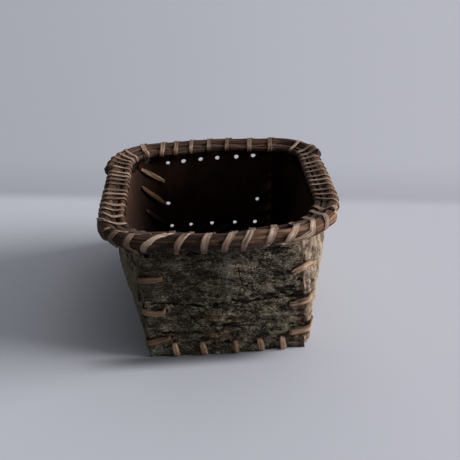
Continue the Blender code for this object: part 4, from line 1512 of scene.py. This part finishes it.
endBarkLook = {
    "dark": paint(33, 28, 21),
    "mid": paint(72, 64, 51),
    "green": paint(56, 52, 36),
    "fleck": paint(190, 176, 152),
    "dash": paint(146, 134, 112),
    "grit": paint(172, 156, 136),
    "dirt": paint(12, 9, 7),
    "crest": paint(104, 95, 78),
    "ochre": paint(112, 84, 54),
    "purple": paint(74, 54, 50),
    "rust": paint(70, 45, 31),
    "ash": paint(140, 141, 132),
    "drawn": (1.0, 3.0, 1.0),  # how much shorter the grain is along x, y and z
    "gritDrawn": (0.55, 1.1, 1.0),
    "fleckSize": 0.0009,
    "dashSize": 0.0020,
    "tornEdge": (0.0518, 0.0542),
}
endPatches = (  # middle, reach, colour and strength of the patches on the front's bark
    ((0.0024, 0.066, 0), (0.0046, 0.026, 1), "ash", 0.34),
    ((0.0115, 0.067, 0), (0.0034, 0.014, 1), "purple", 0.6),
    ((-0.0045, 0.033, 0), (0.016, 0.0055, 1), "ochre", 0.42),
    ((-0.008, 0.017, 0), (0.0105, 0.006, 1), "ochre", 0.45),
    ((-0.052, 0.004, 0), (0.009, 0.004, 1), "ash", 0.4),
    ((0.016, 0.050, 0), (0.034, 0.024, 1), "dark", 0.34),
    ((0.036, 0.018, 0), (0.028, 0.018, 1), "dark", 0.4),
)


def makeEndBark(name, look, patches, cover):
    finish = newFinish(name)
    place = layerOf(finish[1], "place", "Vector")
    x, y, _ = split(place)
    drawn = vectors("MULTIPLY", place, look["drawn"])
    broad, fine = noise(drawn, 90.0, 5.0, 0.65), noise(drawn, 420.0, 5.0, 0.7)
    grit = noise(vectors("MULTIPLY", place, look["gritDrawn"]), 900.0, 2.0, 0.6)
    rightward, higher = stretch(x, -0.035, 0.05), stretch(y, 0.02, 0.07)
    spread = plus(cover[0], times(rightward, cover[1]))
    small = use(flecks, {"Place": place, "Size": look["fleckSize"], "Cover": spread})
    dashes = use(flecks, {"Place": drawn, "Size": look["dashSize"], "Cover": spread})
    gathered = times(stretch(broad, 0.40, 0.60, 0.4, 1.35), plus(0.32, times(rightward, higher, 0.36)))
    pits = reckon("MAXIMUM", stretch(fine, 0.47, 0.36), stretch(grit, 0.44, 0.34))
    colour = blend(stretch(broad, 0.40, 0.62), look["dark"], look["mid"])
    colour = layered(colour, (look["green"], stretch(fine, 0.45, 0.7), 0.5))
    for middle, reach, tint, strength in patches:
        found = use(patch, {"Place": place, "Middle": middle, "Reach": reach, "Ragged": 1.6})
        colour = layered(colour, (look[tint], found["Patch"], strength))
    colour = layered(
        colour,
        (look["dash"], dashes["Flecks"], 0.75),
        (look["grit"], times(stretch(grit, 0.52, 0.64), gathered), 1),
        (look["fleck"], small["Flecks"], 0.85),
        (look["dirt"], pits, 0.85),
    )
    if patches:  # brown torn layers along the right edge
        colour = layered(colour, (look["rust"], stretch(minus(x, times(y, 0.035)), *look["tornEdge"]), 0.72))
    height = plus(times(fine, 1.2), times(small["Height"], 0.7))
    colour = wornAndShaded(finish[1], look, colour, 0.95)
    return dress(finish, colour, (0.78, small["Flecks"], 0.16), height, 1.0, 0.0011, 0.12)


sideBarkLook = {
    "pale": paint(160, 141, 124),
    "mid": paint(126, 108, 93),
    "grey": paint(98, 88, 77),
    "fleck": paint(178, 160, 140),
    "dirt": paint(20, 14, 9),
    "crest": paint(176, 158, 140),
    "ochre": paint(116, 84, 58),
    "drawn": (2.4, 0.8, 1.0),
    "slitsDrawn": (1.0, 0.16, 1.0),
    "fleckSize": 0.0013,
}
shadedBarkLook = {
    **sideBarkLook,
    "pale": paint(110, 101, 84),
    "mid": paint(80, 73, 60),
    "grey": paint(70, 66, 54),
    "fleck": paint(138, 128, 108),
    "crest": paint(112, 103, 86),
}


def makeSideBark(name, look, cover, stain, amount):
    finish = newFinish(name)
    place = layerOf(finish[1], "place", "Vector")
    drawn = vectors("MULTIPLY", place, look["drawn"])
    broad, fine = noise(drawn, 55.0, 5.0, 0.6), noise(drawn, 420.0, 5.0, 0.72)
    small = use(flecks, {"Place": place, "Size": look["fleckSize"], "Cover": cover})
    lines = noise(vectors("MULTIPLY", place, look["slitsDrawn"]), 430.0)
    slits = stretch(reckon("ABSOLUTE", minus(lines, 0.5)), 0.045, 0.014)
    colour = layered(
        blend(stretch(broad, 0.34, 0.66), look["mid"], look["pale"]),
        (look["grey"], stretch(fine, 0.42, 0.68), 0.65),
        (look["fleck"], small["Flecks"], 0.7),
        (look["ochre"], stretch(noise(drawn, 26.0, 4.0, 0.6), 0.55, 0.75), stain),
        (look["dirt"], times(slits, stretch(noise(drawn, 70.0), 0.44, 0.54)), 0.9),
    )
    height = plus(times(fine, 0.9), times(small["Height"], 0.6))
    return dress(finish, wornAndShaded(finish[1], look, colour, amount), (0.8, fine, 0.15), height, 0.85, 0.0008, 0.12)


def makeInnerBark(name, low, high, depth):
    finish = newFinish(name)
    place = layerOf(finish[1], "place", "Vector")
    x, y, z = split(place)
    grain = use(fibres, {"Place": joined(y, x, z), "Length": 0.03, "Width": 0.0016})
    share = plus(times(grain["Streaks"], 0.6), times(stretch(noise(place, 34.0, 3.0), 0.35, 0.65), 0.4))
    colour = scaled(blend(share, low, high), stretch(y, *depth))  # painted shade: darker towards the floor, deep inside the box
    return dress(finish, colour, (0.62, grain["Streaks"], 0.16), grain["Height"], 0.5, 0.0004, 0.1)


def makeEdgeBark(name, low, high):  # the torn layers at a sheet's edges and in its holes
    finish = newFinish(name)
    x, y, z = split(layerOf(finish[1], "place", "Vector"))
    grain = use(fibres, {"Place": joined(x, times(z, 0.04), y), "Length": 0.004, "Width": 0.0007})
    colour = blend(grain["Streaks"], low, high)
    return dress(finish, colour, (0.75, grain["Streaks"], 0.15), grain["Height"], 0.8, 0.0005)


def makeFloorBark(name, low, high):  # the base panel keeps the solid's own mesh
    finish = newFinish(name)
    place = put(finish[1], "TexCoord").outputs["Object"]
    grain = use(fibres, {"Place": place, "Length": 0.03, "Width": 0.0016})
    colour = blend(grain["Streaks"], low, high)
    return dress(finish, colour, (0.65, grain["Streaks"], 0.15), grain["Height"], 0.6, 0.0005)


vineLook = {  # where a rod's tone is 0, and light- where it is 1; the tone is partly painted light
    "dark": paint(38, 24, 15),
    "mid": paint(68, 45, 30),
    "pale": paint(94, 66, 46),
    "lightDark": paint(68, 45, 31),
    "lightMid": paint(146, 104, 78),
    "lightPale": paint(188, 150, 120),
    "bark": paint(36, 26, 19),
    "dirt": paint(16, 10, 7),
    "fibreLength": 0.016,
    "fibreWidth": 0.0012,
}


def makeVine(name, look, barkShare):
    finish = newFinish(name)
    place, tone = layerOf(finish[1], "place", "Vector"), layerOf(finish[1], "tone")
    grain = use(fibres, {"Place": place, "Length": look["fibreLength"], "Width": look["fibreWidth"]})
    patches = noise(place, 95.0, 4.0, 0.65)
    shades = ("dark", "mid", "pale")
    low, high, top = [blend(tone, look[shade], look["light" + shade.capitalize()]) for shade in shades]
    colour = layered(
        blend(grain["Streaks"], low, high),
        (top, stretch(grain["Height"], 0.56, 0.72), 0.7),
        (look["bark"], times(stretch(patches, 0.46, 0.64), times(minus(1.15, tone), barkShare)), 1),
    )
    colour = wornAndShaded(finish[1], look, colour, 0.75, top)
    return dress(finish, colour, (0.6, patches, 0.25), grain["Height"], 1.0, 0.0009, 0.18)


def makeCutEnd(name, low, high):  # cut ends of the rods: pale wood with a dark skin
    finish = newFinish(name)
    place = layerOf(finish[1], "place", "Vector")
    spots = put(finish[1], "TexVoronoi", {"Vector": place, "Scale": 520.0}).outputs["Distance"]
    mottled = noise(place, 260.0, 4.0)
    colour = blend(times(stretch(spots, 0.5, 0.15), stretch(mottled, 0.4, 0.6)), low, high)
    return dress(finish, colour, (0.7, mottled, 0.2), mottled, 0.7, 0.0006)


stripColours = {
    # deep: the painted shade of strips inside the box and in holes; stain: dark grain, and the painted shade at
    # a strip's edges; light: the painted highlight on the pale fibres
    "deep": paint(16, 10, 7),
    "brown": paint(92, 68, 54),
    "tan": paint(130, 105, 88),
    "pale": paint(190, 164, 145),
    "orange": paint(184, 132, 98),
    "stain": paint(36, 23, 16),
    "light": paint(224, 206, 192),
    "fibreLength": 0.016,
    "fibreWidth": 0.0007,
    "edge": (0.0017, 0.0027),  # where a strip darkens with painted shade, from its middle
}
laceColours = {
    **stripColours,
    "brown": paint(86, 60, 43),
    "tan": paint(120, 90, 67),
    "pale": paint(186, 152, 122),
}


def makeStripFinish(name, look):
    finish = newFinish(name)
    place, tone = layerOf(finish[1], "place", "Vector"), layerOf(finish[1], "tone")
    grain = use(fibres, {"Place": place, "Length": look["fibreLength"], "Width": look["fibreWidth"]})
    aside = reckon("ABSOLUTE", split(place)["Y"])
    # painted highlight: pale streaks that grow with the tone; painted shade at the edges and where the tone is
    # below 0
    highlightStreaks = times(stretch(grain["Streaks"], 0.62, 1.0), times(stretch(tone, 0.0, 0.8), 0.6))
    colour = layered(
        blend(stretch(tone, 0.05, 0.9), look["brown"], look["pale"]),
        (look["tan"], stretch(noise(place, 150.0, 4.0), 0.4, 0.62), 0.6),
        (look["orange"], stretch(tone, 0.84, 0.95), 1),
        (look["light"], highlightStreaks, 1),
        (look["stain"], stretch(grain["Streaks"], 0.55, 0.10), 0.9),
        (look["stain"], stretch(aside, *look["edge"]), 0.75),
        (look["deep"], stretch(tone, 0.0, -0.5), 1),
    )
    return dress(finish, colour, (0.5, grain["Height"], 0.28), grain["Height"], 0.9, 0.0007, 0.22)


frontBark = makeEndBark("frontBark", endBarkLook, endPatches, (0.34, 0.16))
backBark = makeEndBark("backBark", endBarkLook, (), (0.45, 0.1))
rightBark = makeSideBark("rightBark", sideBarkLook, 0.55, 0.5, 0.75)
leftBark = makeSideBark("leftBark", shadedBarkLook, 0.4, 0.3, 0.9)
innerSide = makeInnerBark("innerSideBark", paint(32, 19, 13), paint(57, 36, 26), (0.030, 0.088, 0.35, 1.0))
innerEnd = makeInnerBark("innerEndBark", paint(44, 30, 23), paint(72, 50, 38), (0.020, 0.090, 0.7, 1.0))
edgeBark = makeEdgeBark("tornBark", paint(28, 18, 12), paint(84, 58, 40))
floorBark = makeFloorBark("baseBark", paint(38, 26, 20), paint(66, 46, 35))
vineFinish = makeVine("vine", vineLook, 0.4)
hoopFinish = makeVine("hoopVine", vineLook, 0.5)
cutEnd = makeCutEnd("cutVine", paint(44, 31, 22), paint(158, 112, 76))
stripFinish = makeStripFinish("barkStrip", stripColours)
laceFinish = makeStripFinish("laceStrip", laceColours)
print("finishes are made")

# The pieces.
holeRadius = {"front": 0.0018, "back": 0.0021, "left": 0.0017, "right": 0.0019}
halfOpen = 0.0014  # how far a hole lies aside from its strip, where it stays half open
lastRimHole = 57  # millimetres from the middle; past it a strip goes round the edge of its end sheet


def panelHoles(name, kind, where):  # holes: metres along the sheet, height over the floor and radius
    if kind == "end":
        height = float(rimHeight(where * box["baseDepth"] / 2))
        wraps = frontWraps if where == front else backWraps
        seen = [(places[0], drop) for places, _, _, drop in wraps if abs(places[0]) < lastRimHole]
        holes = [(place / 1000, height - drop / 1000) for place, drop in seen]
        holes += [(place / 1000, stitchLook["height"]) for place in endStitches[where]]
        for side in (left, right):
            found = [(x, level) for x, level, _, _ in laceHoles(side, where)]
            if where == back:
                holes.append((found[1][0] - side * halfOpen, found[1][1]))
                continue
            if side == right:
                found[0] = (found[0][0] - halfOpen, found[0][1])
            holes += found
    else:
        holes, height = [], float(rimHeight(0))
        for end in (front, back):
            for (_, _, along, level), stitch in zip(laceHoles(where, end), laces[where, end][2]):
                if stitch[4] >= laceLook["tucked"]:
                    whole = float(sum(sideSpans(where, np.float64(level / height))[:3]))
                    holes.append(((along - 0.5) * whole, level))
        first, run, last, start = spansAt(where, stitchLook["height"])
        for place in sideStitches:
            holes.append((first + place / 1000 - start - (first + run + last) / 2, stitchLook["height"]))
    return [(u, v, holeRadius[name]) for u, v in holes]


walls = {
    "front": ("end", front, (frontBark, edgeBark, innerEnd), "grey_bark"),
    "back": ("end", back, (backBark, edgeBark, innerEnd), "grey_bark"),
    "left": ("side", left, (leftBark, edgeBark, innerSide), "tan_bark"),
    "right": ("side", right, (rightBark, edgeBark, innerSide), "tan_bark"),
}
for name, (kind, where, materials, slotName) in walls.items():
    barkSheet(name, kind, where, panelHoles(name, kind, where), materials)
print("bark sheets are made")

roundTheBox = ("front", "right", "back", "left")
for name in roundTheBox:
    makeRod(name, (vineFinish, cutEnd))
makeHoop((hoopFinish, cutEnd))
print("rim rods are made")

makeLashings()
for number, (side, end) in enumerate(corners):
    title = "cornerLacing" + ("Front" if end == front else "Back") + ("Left" if side == left else "Right")
    cornerLacing(title, side, end, 401 + 10 * number)
for number, name in enumerate(roundTheBox):
    baseLacing("baseLacing" + name.capitalize(), *walls[name][:2], 501 + 10 * number)
print("strips are made")

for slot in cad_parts["base_panel"].material_slots:
    slot.material = floorBark
